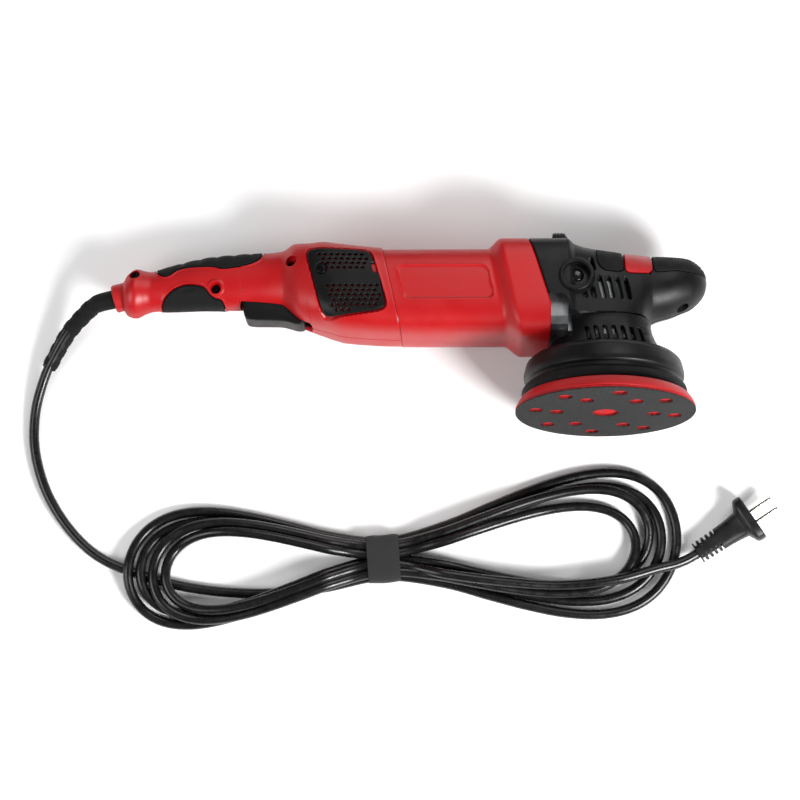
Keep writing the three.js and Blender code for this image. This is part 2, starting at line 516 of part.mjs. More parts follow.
const SLEEVE = [onTool(-337, 3.5, 0), onTool(-348.6, 0.4, 0),
  ...onBench([[-224, 22.6, 24.6], [-235.2, 14, 18.4], [-245.3, 3.5, 13.2], [-253.3, -8.9, 9.7],
    [-260.4, -21.8, 7.4]])];
const CORD = onBench([[-260.8, -22.8, 7.2], [-266.3, -37.6, 4.7], [-269.6, -50.2, 3.7], [-271.3, -62.7, 3.7],
  [-271.3, -75.2, 3.7], [-268.6, -90.4, 3.7], [-261.4, -112, 3.7], [-249.3, -132.6, 3.7], [-234.8, -149.3, 3.7],
  [-220.4, -160.2, 3.7], [-200, -169, 3.7]]);
const TAIL = onBench([[180, -166, 3.7], [190, -165, 3.7], [200, -161.6, 5], [208.6, -156.2, 7]]);

function tube(curve, radius, steps) {
  const section = new THREE.Shape().absarc(0, 0, radius, 0, 2 * Math.PI);
  const settings = { curveSegments: 5, steps, extrudePath: curve, bevelEnabled: false };
  return solid(new THREE.ExtrudeGeometry(section, settings));
}

// A tapering round sleeve along a curve, closed at both ends.
function sleeve(curve, firstRadius, lastRadius, steps) {
  const frames = curve.computeFrenetFrames(steps);
  const surface = (u, v, target) => {
    const row = Math.round(v * (steps + 2));
    const step = THREE.MathUtils.clamp(row - 1, 0, steps);
    const open = row > 0 && row < steps + 2 ? 1 : 0;
    const radius = open * THREE.MathUtils.lerp(firstRadius, lastRadius, step / steps);
    const angle = u * 2 * Math.PI;
    curve.getPointAt(step / steps, target);
    target.addScaledVector(frames.normals[step], radius * Math.cos(angle));
    target.addScaledVector(frames.binormals[step], radius * Math.sin(angle));
  };
  return solid(new ParametricGeometry(surface, 12, steps + 2));
}

// Outer edge of the hank's two lobes: loops that pinch together at the tie.
function hankOutline(grow) {
  const lobes = [[-84, 84, 212, 97], [96, 264, 186, 72]];
  const points = [];
  for (const [from, to, reach, rise] of lobes) {
    const path = (degrees) => {
      const t = THREE.MathUtils.degToRad(degrees);
      const pinch = Math.hypot(Math.cos(t), 0.06) - 0.06;
      const x = reach * Math.cos(t);
      return new THREE.Vector2(x + TIE.x, TIE.y + HANK_SLOPE * x + Math.sin(t) * (rise * pinch + 14.4));
    };
    for (let n = 0; n <= 20; n += 1) {
      const degrees = from + ((to - from) * n) / 20;
      const ahead = path(degrees + 1).sub(path(degrees - 1)).normalize();
      points.push(path(degrees).add(new THREE.Vector2(ahead.y, -ahead.x).multiplyScalar(CORD_RADIUS + grow)));
    }
  }
  return points;
}

function cordPieces() {
  piece('strain_relief', sleeve(new THREE.CatmullRomCurve3(SLEEVE), 6.9, 5.8, 12), rubber, bench);
  const extruded = (grow, height) =>
    solid(new THREE.ExtrudeGeometry(new THREE.Shape(hankOutline(grow)), { depth: height, bevelEnabled: false }));
  const tilt = THREE.MathUtils.radToDeg(Math.atan(HANK_SLOPE));
  const atTie = (body) => body.rotate([0, 0, tilt]).translate([TIE.x, TIE.y, 0]);
  const window = box(-14, 14, -15.7, 15.7, 1.9, 15.2);
  const waist = atTie(box(-12, 12, -60, 60, -5, 40).subtract(window));
  piece('cord_hank', extruded(0, HANK_TOP).translate([0, 0, 0.1]).subtract(waist), cordSheath, bench);
  const band = atTie(box(-11.6, 11.6, -17.4, 17.4, 0.1, 17).subtract(box(-20, 20, -16, 16, 1.6, 15.5)));
  piece('cord_tie', band, rubber, bench);
  const hankRoom = extruded(GAP, 40).translate([0, 0, -10]);
  piece('mains_cord', tube(new THREE.CatmullRomCurve3(CORD), CORD_RADIUS, 16).subtract(hankRoom), cordSheath, bench);
  piece('cord_tail', tube(new THREE.CatmullRomCurve3(TAIL), CORD_RADIUS, 4).subtract(hankRoom), cordSheath, bench);
}

// Two-pin plug: its own +X runs from the cord out along the pins.
function plug() {
  const group = new THREE.Group();
  group.position.set(209.2, -155.8, 7.7);
  const [roll, lift, heading] = [82, -6.8, 34].map((degrees) => THREE.MathUtils.degToRad(degrees));
  group.rotation.set(roll, lift, heading, 'ZYX');
  bench.add(group);
  const body = loft([[0, 0, 6.2, 8, 3, 0], [19, 0, 7.4, 8.4, 3, 0], [37, 0, 8.6, 10, 3.2, 0],
    [38.5, 0, 9.6, 12, 3.4, 0], [41, 0, 11.6, 17, 3.6, 0], [47.4, 0, 12, 17.6, 3.6, 0]], 16);
  piece('plug_body', body, blackPlastic, group);
  for (const [name, side] of [['a', 1], ['b', -1]]) {
    const z = side * 4.2;
    const blade = prism([[47.7, -3.1], [64.6, -3.1], [65.9, -1.6], [65.9, 1.6], [64.6, 3.1], [47.7, 3.1]],
      z - 0.75, z + 0.75);
    piece('plug_pin_' + name, blade, steel, group);
  }
}

handleShells();
handleGrips();
ventCovers();
handleScrews();
switchGear();
motorHousing();
motorParts();
gearboxHousing();
frontCovers();
shroudAndSkirt();
bevelGears();
orbitDrive();
pad();
cordPieces();
plug();

export default bench;
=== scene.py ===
# A dual action polisher lying on its left side on a pale bench, its cord tied in a hank beside it.
import math

import bmesh
import bpy
import numpy as np
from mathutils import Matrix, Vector


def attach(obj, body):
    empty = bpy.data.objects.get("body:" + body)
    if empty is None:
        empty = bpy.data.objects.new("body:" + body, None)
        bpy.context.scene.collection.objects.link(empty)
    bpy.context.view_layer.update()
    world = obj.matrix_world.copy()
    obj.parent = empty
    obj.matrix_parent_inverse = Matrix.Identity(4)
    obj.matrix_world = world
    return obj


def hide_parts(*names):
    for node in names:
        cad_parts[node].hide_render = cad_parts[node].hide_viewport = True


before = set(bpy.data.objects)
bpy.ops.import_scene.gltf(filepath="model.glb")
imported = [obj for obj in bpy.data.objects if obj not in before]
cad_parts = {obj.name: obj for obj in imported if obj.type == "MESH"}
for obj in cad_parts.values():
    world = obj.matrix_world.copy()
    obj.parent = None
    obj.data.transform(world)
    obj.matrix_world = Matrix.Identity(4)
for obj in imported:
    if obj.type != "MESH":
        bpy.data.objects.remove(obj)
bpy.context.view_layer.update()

# ---- The bench, the camera and the light ----
# A pale seamless table top under a large soft light. The camera looks almost straight down on it, with
# a long lens, and the bright key light stands low on the right so that the shadows fall to the upper left.
BENCH_SIZE = 6.0
LOOK_AT = Vector((-0.0055, -0.0465, 0.030))
CAMERA_FAR = 1.46
CAMERA_TILT = math.radians(4.0)
LENS = 92.0
AMBIENT = 0.16
# Each lamp's place, size and power.
LAMPS = {"key": ((0.85, -0.8, 0.95), 0.5, 34), "far": ((0.5, 1.3, 1.3), 1.2, 15),
         "left": ((-1.3, -0.5, 1.2), 1.0, 16)}


def linear(colour):
    """A six digit sRGB hex colour as linear red, green, blue and alpha."""
    parts = np.array([int(colour[i:i + 2], 16) for i in (0, 2, 4)]) / 255
    return (*np.where(parts <= 0.04045, parts / 12.92, ((parts + 0.055) / 1.055) ** 2.4), 1.0)


def add_node(material, kind, settings=(), **links):
    """Adds a node. A link name is an input's name with _ for a space, or _ and its number, and its value is a
    number or a node's output."""
    node = material.node_tree.nodes.new(kind)
    for key, value in dict(settings).items():
        setattr(node, key, value)
    for key, value in links.items():
        socket = node.inputs[int(key[1:])] if key[0] == "_" else node.inputs[key.replace("_", " ")]
        if isinstance(value, bpy.types.NodeSocket):
            material.node_tree.links.new(value, socket)
        else:
            socket.default_value = value
    return node


def new_material(name):
    """An empty node material and its output node."""
    material = bpy.data.materials.new(name)
    material.use_nodes = True
    material.node_tree.nodes.clear()
    return material, material.node_tree.nodes.new("ShaderNodeOutputMaterial")


def painted_bench():
    """Matt white paint: nearly pure white, with no gloss and the faintest unevenness."""
    material, out = new_material("white_table_paint")
    where = add_node(material, "ShaderNodeTexCoord").outputs["Object"]
    cloud = add_node(material, "ShaderNodeTexNoise", Vector=where, Scale=3.0, Detail=2.0)
    tone = add_node(material, "ShaderNodeMix", {"data_type": "RGBA"}, _0=cloud.outputs["Fac"],
                    _6=linear("F8F8F8"), _7=linear("FCFCFC"))
    paint = add_node(material, "ShaderNodeBsdfPrincipled", Base_Color=tone.outputs[2], Roughness=0.85)
    material.node_tree.links.new(paint.outputs[0], out.inputs[0])
    return material


half = BENCH_SIZE / 2
bench_mesh = bpy.data.meshes.new("bench")
bench_mesh.from_pydata([(-half, -half, 0), (half, -half, 0), (half, half, 0), (-half, half, 0)], [],
                       [(0, 1, 2, 3)])
bench = bpy.data.objects.new("bench", bench_mesh)
bench_mesh.materials.append(painted_bench())
bpy.context.scene.collection.objects.link(bench)

lens = bpy.data.cameras.new("camera")
lens.lens = LENS
lens.clip_start, lens.clip_end = 0.05, 20
camera = bpy.data.objects.new("camera", lens)
towards = Vector((0, -math.sin(CAMERA_TILT), math.cos(CAMERA_TILT)))
camera.location = LOOK_AT + towards * CAMERA_FAR
camera.rotation_mode = "QUATERNION"
camera.rotation_quaternion = (-towards).to_track_quat("-Z", "Y")
bpy.context.scene.collection.objects.link(camera)
bpy.context.scene.camera = camera

for lamp_name, (place, size, power) in LAMPS.items():
    lamp = bpy.data.lights.new(lamp_name, "AREA")
    lamp.size, lamp.energy = size, power
    holder = bpy.data.objects.new(lamp_name, lamp)
    holder.location = place
    holder.rotation_euler = (LOOK_AT - Vector(place)).to_track_quat("-Z", "Y").to_euler()
    bpy.context.scene.collection.objects.link(holder)
world = bpy.data.worlds.new("studio")
world.use_nodes = True
world.node_tree.nodes["Background"].inputs["Color"].default_value = (1, 1, 1, 1)
world.node_tree.nodes["Background"].inputs["Strength"].default_value = AMBIENT
bpy.context.scene.world = world
bpy.context.scene.view_settings.view_transform = "Standard"

# ---- The mains cord ----
# A round two-core cord in a black PVC sheath, 7.2 mm thick. It leaves the handle, lies on the bench, makes
# four turns held by a tie, and ends in the plug. Its real length is what the route measures.
CORD_RADIUS = 0.0036
TIE = np.array([-17.4, -159.8])
HANK_SLOPE = 0.0715
PINCH = 0.06
BLUNT = 0.8
ON_BENCH, LOW, UPPER = 3.7, 5.4, 11.6
# Route points in millimetres: out of the sleeve and up to the hank, then from the hank to the plug.
FIRST_STRETCH = [
    (-210.2, 26.9, 31.3), (-224, 22.6, 24.6), (-235.2, 14, 18.4), (-245.3, 3.5, 13.2), (-253.3, -8.9, 9.7),
    (-260.8, -22.8, 7.2), (-266.3, -37.6, 4.7), (-269.6, -50.2, 3.7), (-271.0, -62.7, 3.7),
    (-271.0, -75.2, 3.7), (-268.6, -90.4, 3.7), (-261.4, -112, 3.7), (-249.3, -132.6, 3.7),
    (-234.8, -149.3, 3.7), (-220.4, -160.2, 3.7), (-200, -169, 3.7), (-172, -177.5, 3.7), (-135, -183.5, 3.7),
    (-95, -184.5, 3.7), (-60, -180.5, 4)]
LAST_STRETCH = [
    (30, -171, 4), (70, -176, 3.7), (110, -178.5, 3.7), (150, -174.5, 3.7), (180, -166.6, 3.7),
    (192, -163.8, 4.2), (201, -160.4, 5.6), (210.5, -155.0, 7.8)]
# The hank's half turns, as reach and rise, and the places of its strands in the tie, as side step and height.
RIGHT_LOOPS = [(212, 92), (201, 80), (192, 69), (182, 58)]
LEFT_LOOPS = [(184, 74), (175, 67), (166, 61), (157, 56)]
BOTTOM_SLOTS = [(-12.4, LOW), (-6.2, LOW), (0, LOW), (-9.3, UPPER), (-3.1, UPPER)]
TOP_SLOTS = [(12.2, LOW), (6.1, LOW), (9.2, UPPER), (3.1, UPPER)]


def lobe(start, turn, finish, side, reach, rise, steps=22):
    """Half a turn of the hank, from one slot of the tie to another, on the hank's own sloping line. It is a
    blunt teardrop: its width is reach x cos t ^ BLUNT and its height rise x sin t x the cosine pinched at
    the tie."""
    t = np.linspace(-math.pi / 2, math.pi / 2, steps + 1)[1:-1] * turn
    share = (1 + np.sin(t) * turn) / 2
    pinch = np.hypot(np.cos(t), PINCH) - PINCH
    across = side * reach * np.cos(t) ** BLUNT
    slot = start[0] + (finish[0] - start[0]) * share
    height = start[1] + (finish[1] - start[1]) * share
    flat = ON_BENCH + (height - ON_BENCH) * (1 - np.clip(np.cos(t) * 3, 0, 1))
    centre_line = TIE[1] + HANK_SLOPE * across
    return np.column_stack([TIE[0] + across, centre_line + slot + rise * np.sin(t) * pinch, flat])


def at_tie(slot):
    """The point where a strand passes through the middle of the tie."""
    return np.array([[TIE[0], TIE[1] + slot[0], slot[1]]])


route = [np.array(FIRST_STRETCH, float), at_tie(BOTTOM_SLOTS[0])]
for n in range(4):
    route += [lobe(BOTTOM_SLOTS[n], 1, TOP_SLOTS[n], 1, *RIGHT_LOOPS[n]), at_tie(TOP_SLOTS[n]),
              lobe(TOP_SLOTS[n], -1, BOTTOM_SLOTS[n + 1], -1, *LEFT_LOOPS[n]), at_tie(BOTTOM_SLOTS[n + 1])]
route.append(np.array(LAST_STRETCH, float))
route = np.concatenate(route)


def smooth_line(points, gap):
    """Even points, gap apart, on the cubic through the given ones whose knots are spaced by the square root
    of the distance between them."""
    points = np.asarray(points, float)
    knots = np.concatenate([[0], np.cumsum(np.sqrt(np.linalg.norm(np.diff(points, axis=0), axis=1)))])
    slopes = np.gradient(points, knots, axis=0)
    fine = np.linspace(0, knots[-1], 30 * len(points))
    k = np.clip(np.searchsorted(knots, fine, "right") - 1, 0, len(knots) - 2)
    width = (knots[k + 1] - knots[k])[:, None]
    f = (fine - knots[k])[:, None] / width
    dense = ((2 * f ** 3 - 3 * f ** 2 + 1) * points[k] + (f ** 3 - 2 * f ** 2 + f) * width * slopes[k]
             + (3 * f ** 2 - 2 * f ** 3) * points[k + 1] + (f ** 3 - f ** 2) * width * slopes[k + 1])
    run = np.concatenate([[0], np.cumsum(np.linalg.norm(np.diff(dense, axis=0), axis=1))])
    even = np.linspace(0, run[-1], max(int(run[-1] / gap), 2))
    return np.column_stack([np.interp(even, run, dense[:, i]) for i in range(3)])


def settled(line, near=6.9, ceiling=18.0, passes=14, hump=17, clear=14, fade=30):
    """Lifts each stretch over those laid before it, until points closer in plan than near stand sqrt(near^2
    - distance^2) apart in height. The lift is spread over hump points, so that the cord rises in long humps,
    and fades out towards the tie, from clear + fade to clear millimetres off."""
    plan = np.linalg.norm(line[:, None, :2] - line[None, :, :2], axis=-1)
    order = np.arange(len(line))
    under = (order[None] < order[:, None] - 12) & (plan < near)
    rise = np.sqrt(np.clip(near ** 2 - plan ** 2, 0, None))
    spread = np.hanning(hump)[1:-1] / np.hanning(hump).sum()
    share = np.clip((np.abs(line[:, 0] - TIE[0]) - clear) / fade, 0, 1)
    free = share * share * (3 - 2 * share)
    height = line[:, 2]
    for _ in range(passes):
        need = np.clip(np.where(under, height[None] + rise, 0).max(axis=1), line[:, 2], ceiling)
        crest = np.lib.stride_tricks.sliding_window_view(np.pad(need, 3, "edge"), 7).max(axis=1)
        soft = np.maximum(np.convolve(np.pad(crest, hump // 2 - 1, "edge"), spread, "valid"), line[:, 2])
        height = np.where(line[:, 2] > ceiling, line[:, 2], soft * free + line[:, 2] * (1 - free))
    return np.column_stack([line[:, :2], height])


cord_line = settled(smooth_line(route, 4.0)) / 1000


def quads(index, wrap_rows=False, wrap_columns=False):
    """The four-cornered faces between neighbours in a grid of point numbers."""
    if wrap_rows:
        index = np.concatenate([index, index[:1]])
    if wrap_columns:
        index = np.concatenate([index, index[:, :1]], axis=1)
    return np.stack([index[:-1, :-1], index[:-1, 1:], index[1:, 1:], index[1:, :-1]], axis=-1).reshape(-1, 4)


def tube_part(grid, wrap_rows=False):
    """Points and faces of a grid whose columns run all the way round the piece."""
    index = np.arange(grid.shape[0] * grid.shape[1]).reshape(grid.shape[:2])
    return grid.reshape(-1, 3), quads(index, wrap_rows, True)


def mesh_of(name, parts):
    """A mesh object from parts in metres, each its points and faces. Poles and seams are merged, the faces
    turned outwards, and edges sharper than 35 degrees kept sharp."""
    base = np.cumsum([0] + [len(points) for points, _ in parts[:-1]])
    points = np.concatenate([part[0] for part in parts])
    faces = np.concatenate([part[1] + first for part, first in zip(parts, base)])
    mesh = bpy.data.meshes.new(name)
    mesh.from_pydata(points.tolist(), [], faces.tolist())
    work = bmesh.new()
    work.from_mesh(mesh)
    bmesh.ops.remove_doubles(work, verts=work.verts, dist=2e-6)
    bmesh.ops.dissolve_degenerate(work, edges=work.edges, dist=1e-7)
    bmesh.ops.recalc_face_normals(work, faces=work.faces)
    work.to_mesh(mesh)
    work.free()
    mesh.polygons.foreach_set("use_smooth", np.ones(len(mesh.polygons), bool))
    mesh.set_sharp_from_angle(angle=math.radians(35))
    piece = bpy.data.objects.new(name, mesh)
    bpy.context.scene.collection.objects.link(piece)
    return piece


def fit(piece, material, slot, *nodes, body="tool"):
    """Gives a piece its material, hides the nodes it stands for and rides it on their body. slot is not used.
    """
    piece.data.materials.append(material)
    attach(piece, body)
    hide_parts(*nodes)


def tube_grid(line, radius, sides=14):
    """Rings of the given radius square to a line, each turned as little as can be from the last, with
    poles."""
    line = np.asarray(line, float)
    radius = np.broadcast_to(radius, len(line))
    along = np.gradient(line, axis=0)
    along /= np.linalg.norm(along, axis=1)[:, None]
    across = np.zeros_like(line)
    seed = np.cross(along[0], [0.0, 0.0, 1.0])
    for i in range(len(line)):
        seed = seed - along[i] * (seed @ along[i])
        seed = seed / np.linalg.norm(seed)
        across[i] = seed
    up = np.cross(along, across)
    turn = np.linspace(0, 2 * math.pi, sides, endpoint=False)
    spokes = across[:, None] * np.cos(turn)[:, None] + up[:, None] * np.sin(turn)[:, None]
    ends = [np.broadcast_to(line[i], (1, sides, 3)) for i in (0, -1)]
    return np.concatenate([ends[0], line[:, None] + radius[:, None, None] * spokes, ends[1]])


def surface(name, dark, light, blotch, roughness, grain, relief, **shader):
    """A material of two close tones in blotches, with a fine grain. blotch, grain and relief are the sizes
    of the blotches and the grain and the grain's depth, in millimetres; roughness is its lowest and highest
    value."""
    material, out = new_material(name)
    where = add_node(material, "ShaderNodeTexCoord").outputs["Object"]
    cloud = add_node(material, "ShaderNodeTexNoise", Vector=where, Scale=1000 / blotch, Detail=4.0)
    tone = add_node(material, "ShaderNodeMix", {"data_type": "RGBA"}, _0=cloud.outputs["Fac"],
                    _6=linear(dark), _7=linear(light))
    fine = add_node(material, "ShaderNodeTexNoise", Vector=where, Scale=1000 / grain, Detail=2.0)
    gloss = add_node(material, "ShaderNodeMapRange", Value=cloud.outputs["Fac"], From_Min=0.3, From_Max=0.7,
                     To_Min=roughness[0], To_Max=roughness[1])
    bump = add_node(material, "ShaderNodeBump", Height=fine.outputs["Fac"], Strength=1.0,
                    Distance=relief / 1000)
    skin = add_node(material, "ShaderNodeBsdfPrincipled", Base_Color=tone.outputs[2],
                    Roughness=gloss.outputs[0], Normal=bump.outputs[0], **shader)
    material.node_tree.links.new(skin.outputs[0], out.inputs[0])
    return material


# Extruded PVC: smooth, so it has a soft gloss broken by dust and handling.
cord_sheath = surface("extruded_pvc_cord_sheath", "070707", "101011", 6, (0.22, 0.36), 1.2, 0.02, IOR=1.5,
                      Specular_IOR_Level=0.4)
mains_cord = mesh_of("mains_cord_sheath", [tube_part(tube_grid(cord_line, CORD_RADIUS))])
fit(mains_cord, cord_sheath, "cord_sheath", "mains_cord", "cord_hank", "cord_tail")

# ---- The rear handle ----
# Two red ABS shells, right and left, injection moulded and screwed together on their centre plane. They have
# pockets for the rubber grips and the vent covers, a lip round each pocket, and a collar for the cord.
ROLL, PITCH = math.radians(12.3), math.radians(1.89)
REST = np.array([138.05, 25.2, 42.74])
SHELL_WALL = 3.2
HALF_GAP = 0.15
# Casing sections: x, centre height, half height, half width, squareness, lean.
HANDLE = np.array([
    (-341, 2.6, 10.6, 10.6, 2, 0), (-338, 3.2, 15, 15, 2, 0), (-332, 4.4, 17.6, 17.6, 2, 0),
    (-326, 5.1, 15.6, 15.6, 2, 0), (-320, 5.8, 14.4, 14, 2, 0), (-309, 7.5, 15.9, 14.5, 2.1, 0),
    (-277, 11.5, 19, 16, 2.2, 0), (-246, 12.4, 20.5, 17, 2.3, 0), (-228, 12.5, 21.5, 19, 2.5, 0.02),
    (-214, 9, 29, 27, 3, 0.12), (-200, 6, 31, 31.5, 3.5, 0.21), (-188, 4.4, 32.9, 32.5, 3.8, 0.21),
    (-166, 2, 32.5, 32, 3.8, 0.21), (-138, 0, 31.5, 31.5, 3.8, 0.21)])
# Outlines of what is let into a flank, as x and y seen from the side. They run past the casing where they
# end on the centre plane.
UPPER_GRIP = [
    (-318.2, 60), (-318.2, 18.9), (-313.5, 13.3), (-307.8, 12.6), (-303.6, 17.3), (-296, 19.8),
    (-275.2, 20), (-270, 17.6), (-258.2, 19.2), (-248.7, 21.7), (-243.5, 24.6), (-241.3, 29), (-241.3, 60)]
LOWER_GRIP = [
    (-313.5, -60), (-313.5, -11), (-312, -5.3), (-307.3, 0.6), (-300.7, 5), (-294.1, 6.7),
    (-286.6, 5.9), (-282.3, 4.5), (-279.5, 0.6), (-275.2, -3.3), (-270.5, -3.8), (-268.6, -6.7),
    (-267.2, -12), (-267.2, -60)]
VENT_COVER = [(-205.5, 28), (-166, 26.4), (-162.6, 23), (-151.6, -15), (-155, -18.6), (-192.5, -23.4),
              (-197.4, -20), (-209.4, 24.4)]
SEAM_X, SEAM_SLOPE = -149, 0.22
GRIP_DEPTH, GRIP_PROUD, COVER_DEPTH, POCKET_GAP = 1.4, 0.5, 1.6, 0.3
TRIGGER_SLOT, TRIGGER_HALF_WIDTH = (-256.8, -209.4), 9.9
# Each handle screw's x and y, and the height of its seat.
SCREWS = {"rear": (-332.4, 14.6, 8), "middle": (-274, 3.7, 10), "front": (-219.8, 20.3, 13)}
SCREW_BORE = 3.5
# The slot of the speed dial in the left shell: its rear and front ends, and its nearer and farther sides.
DIAL_SLOT = (-216, -190, 10, 17.8)
VENT_SCREW = (-198, 11.6)
RIGHT_AND_LEFT = (("right", 1), ("left", -1))


def laid(points):
    """Points of the tool's own frame, in millimetres, turned as the tool lies, in metres on the bench."""
    x, y, z = np.moveaxis(points, -1, 0)
    tall = math.cos(ROLL) * z - math.sin(ROLL) * y
    return np.stack([math.cos(PITCH) * x - math.sin(PITCH) * tall + REST[0],
                     math.cos(ROLL) * y + math.sin(ROLL) * z + REST[1],
                     math.sin(PITCH) * x + math.cos(PITCH) * tall + REST[2]], axis=-1) / 1000


def flowing(knots, values, at):
    """The monotone cubic through values at the knots, which never overshoots: a flat stretch stays flat."""
    gap = np.diff(knots)[:, None]
    rise = np.diff(values, axis=0) / gap
    slope = np.zeros_like(values)
    both = rise[:-1] * rise[1:]
    slope[1:-1] = np.where(both > 0, 2 * both / np.where(both > 0, rise[:-1] + rise[1:], 1), 0)
    slope[0], slope[-1] = rise[0], rise[-1]
    k = np.clip(np.searchsorted(knots, at, "right") - 1, 0, len(knots) - 2)
    width = gap[k]
    f = np.clip((at - knots[k])[..., None] / width, 0, 1)
    return ((1 + 2 * f) * (1 - f) ** 2 * values[k] + f * (1 - f) ** 2 * width * slope[k]
            + f ** 2 * (3 - 2 * f) * values[k + 1] + f ** 2 * (f - 1) * width * slope[k + 1])


def on_casing(sections, x, turn, inset=0.0):
    """The point of a casing at station x and angle turn, 0 to the tool's right and 90 degrees up. The section
    is the superellipse |z / wide| ^ n + |y / high| ^ n = 1 in polar form, leaning back as it rises."""
    centre, high, wide, square, lean = np.moveaxis(flowing(sections[:, 0], sections[:, 1:], x), -1, 0)
    high, wide = np.maximum(high - inset, 0.05), np.maximum(wide - inset, 0.05)
    reach = (np.abs(np.cos(turn) / wide) ** square + np.abs(np.sin(turn) / high) ** square) ** (-1 / square)
    y = centre + reach * np.sin(turn)
    return np.stack([x - lean * y, y, reach * np.cos(turn)], axis=-1)


def turn_at_height(sections, x, y):
    """The angle on the right side at which a casing's section passes height y."""
    centre, high, wide, square, _ = np.moveaxis(flowing(sections[:, 0], sections[:, 1:], x), -1, 0)
    up = np.clip((y - centre) / high, -1, 1)
    return np.arctan2(up * high, wide * (1 - np.abs(up) ** square) ** (1 / square))


def turn_at_side(sections, x, z, top):
    """The angle at which a casing's top (1) or bottom (-1) is the distance z from the centre plane."""
    _, high, wide, square, _ = np.moveaxis(flowing(sections[:, 0], sections[:, 1:], x), -1, 0)
    across = np.clip(z / wide, 0, 1)
    return top * np.arctan2(high * (1 - across ** square) ** (1 / square), across * wide)


def patch(sections, rear, front, low, high, rows, columns):
    """Stations and angles of a patch of a casing. rear and front give the x of its ends for a height y, low
    and high the angles of its edges for a station. A few rounds bring the ends onto their lines."""
    along = np.linspace(0, 1, rows)[:, None]
    across = np.linspace(0, 1, columns)[None]
    x = rear(0 * along * across) * (1 - along) + front(0 * along * across) * along
    for _ in range(8):
        turn = low(x) * (1 - across) + high(x) * across
        point = on_casing(sections, x, turn)
        y = point[..., 1]
        x = rear(y) * (1 - along) + front(y) * along + x - point[..., 0]
    return x, turn


def outward(grid):
    """Unit normals of a grid of points, all facing away from the casing's axis."""
    normal = np.cross(np.gradient(grid, axis=0), np.gradient(grid, axis=1))
    normal /= np.maximum(np.linalg.norm(normal, axis=-1, keepdims=True), 1e-9)
    away = grid[..., 1] * normal[..., 1] + grid[..., 2] * normal[..., 2]
    return normal * np.where(away.mean() < 0, -1, 1)


def rounded(outline, radius=2.5, times=3):
    """A closed outline with its corners cut off, first by about the radius and each time after by half as
    much."""
    corners = np.asarray(outline, float)
    for step in range(times):
        run = np.roll(corners, -1, axis=0) - corners
        size = np.linalg.norm(run, axis=1, keepdims=True)
        cut = run * np.minimum(0.27, radius / 2 ** step / size)
        corners = np.stack([corners + cut, corners + run - cut], axis=1).reshape(-1, 2)
    return corners


def inside(outline, x, y):
    """How far each point lies inside a closed outline: the distance to the nearest side, negative outside,
    where a ray to the right crosses the outline an even number of times."""
    from_x, from_y = np.asarray(outline, float).T
    to_x, to_y = np.roll(from_x, -1), np.roll(from_y, -1)
    run, rise = to_x - from_x, to_y - from_y
    px, py = x[..., None], y[..., None]
    length = np.maximum(run ** 2 + rise ** 2, 1e-9)
    share = np.clip(((px - from_x) * run + (py - from_y) * rise) / length, 0, 1)
    away = np.hypot(px - from_x - share * run, py - from_y - share * rise).min(-1)
    crossing = run * (py - from_y) / np.where(rise == 0, 1, rise) + from_x
    crossed = ((from_y > py) != (to_y > py)) & (px < crossing)
    return np.where(crossed.sum(-1) % 2 == 1, away, -away)


def eased(value, width):
    """A soft step from 0 to 1 as the value passes through zero, width wide."""
    share = np.clip(value / width + 0.5, 0, 1)
    return share * share * (3 - 2 * share)


def shell_part(outer, inner, wrap=False, keep=None):
    """A closed wall between two grids alike: its two skins, and a rim along every open edge and round every
    hole. keep says which faces stay; each left-out face leaves a hole right through the wall."""
    rows, columns = outer.shape[:2]
    count = rows * columns
    index = np.arange(count).reshape(rows, columns)
    faces = quads(index, False, wrap).reshape(rows - 1, -1, 4)
    kept = np.ones(faces.shape[:2], bool) if keep is None else keep
    around = np.pad(kept, ((0, 0), (1, 1)), "wrap" if wrap else "constant")
    around = np.pad(around, ((1, 1), (0, 0)))
    rims = []
    for (down, right), (a, b) in {(-1, 0): (0, 1), (0, 1): (1, 2), (1, 0): (2, 3), (0, -1): (3, 0)}.items():
        beyond = around[1 + down:1 + down + kept.shape[0], 1 + right:1 + right + kept.shape[1]]
        edge = faces[kept & ~beyond]
        rims.append(np.stack([edge[:, b], edge[:, a], edge[:, a] + count, edge[:, b] + count], -1))
    outside = faces[kept]
    return (np.concatenate([outer.reshape(-1, 3), inner.reshape(-1, 3)]),
            np.concatenate([outside, outside[:, ::-1] + count, *rims]))


def tool_wall(outer, inner, side=1, wrap=False, keep=None):
    """The wall between two grids of the tool's own frame, as drawn for the right (1) or mirrored (-1)."""
    facing = np.array([1, 1, side])
    return shell_part(laid(outer * facing), laid(inner * facing), wrap, keep)


def drop_loose(piece):
    """Takes away the points that no face uses, which a hole leaves behind."""
    work = bmesh.new()
    work.from_mesh(piece.data)
    bmesh.ops.delete(work, geom=[v for v in work.verts if not v.link_faces], context="VERTS")
    work.to_mesh(piece.data)
    work.free()


def half_collar(side):
    """Half of the round collar that the cord sleeve comes out of: a tube wall 12 mm long, its rear edge
    rounded, tipped 15 degrees down towards the back."""
    along = np.linspace(-6, 6, 12)[:, None]
    turn = np.linspace(-math.pi / 2, math.pi / 2, 40)[None]
    edge = 0.8 * (1 - np.clip((along + 6) / 0.8, 0, 1)) ** 2
    tipped = math.radians(15)
    walls = []
    for radius in (9.9 - edge, 7.3 + edge * 0.5):
        up = radius * np.sin(turn) + 0 * along
        walls.append(np.stack([-342.6 + along * math.cos(tipped) - up * math.sin(tipped),
                               1.9 + along * math.sin(tipped) + up * math.cos(tipped),
                               radius * np.cos(turn) + HALF_GAP + 0 * along], axis=-1))
    return tool_wall(*walls, side)


def groove(distance, width):
    """A soft bump, 1 where the distance is zero and fading over the width, for lips and for parting lines."""
    return np.exp(-(distance / width) ** 2)


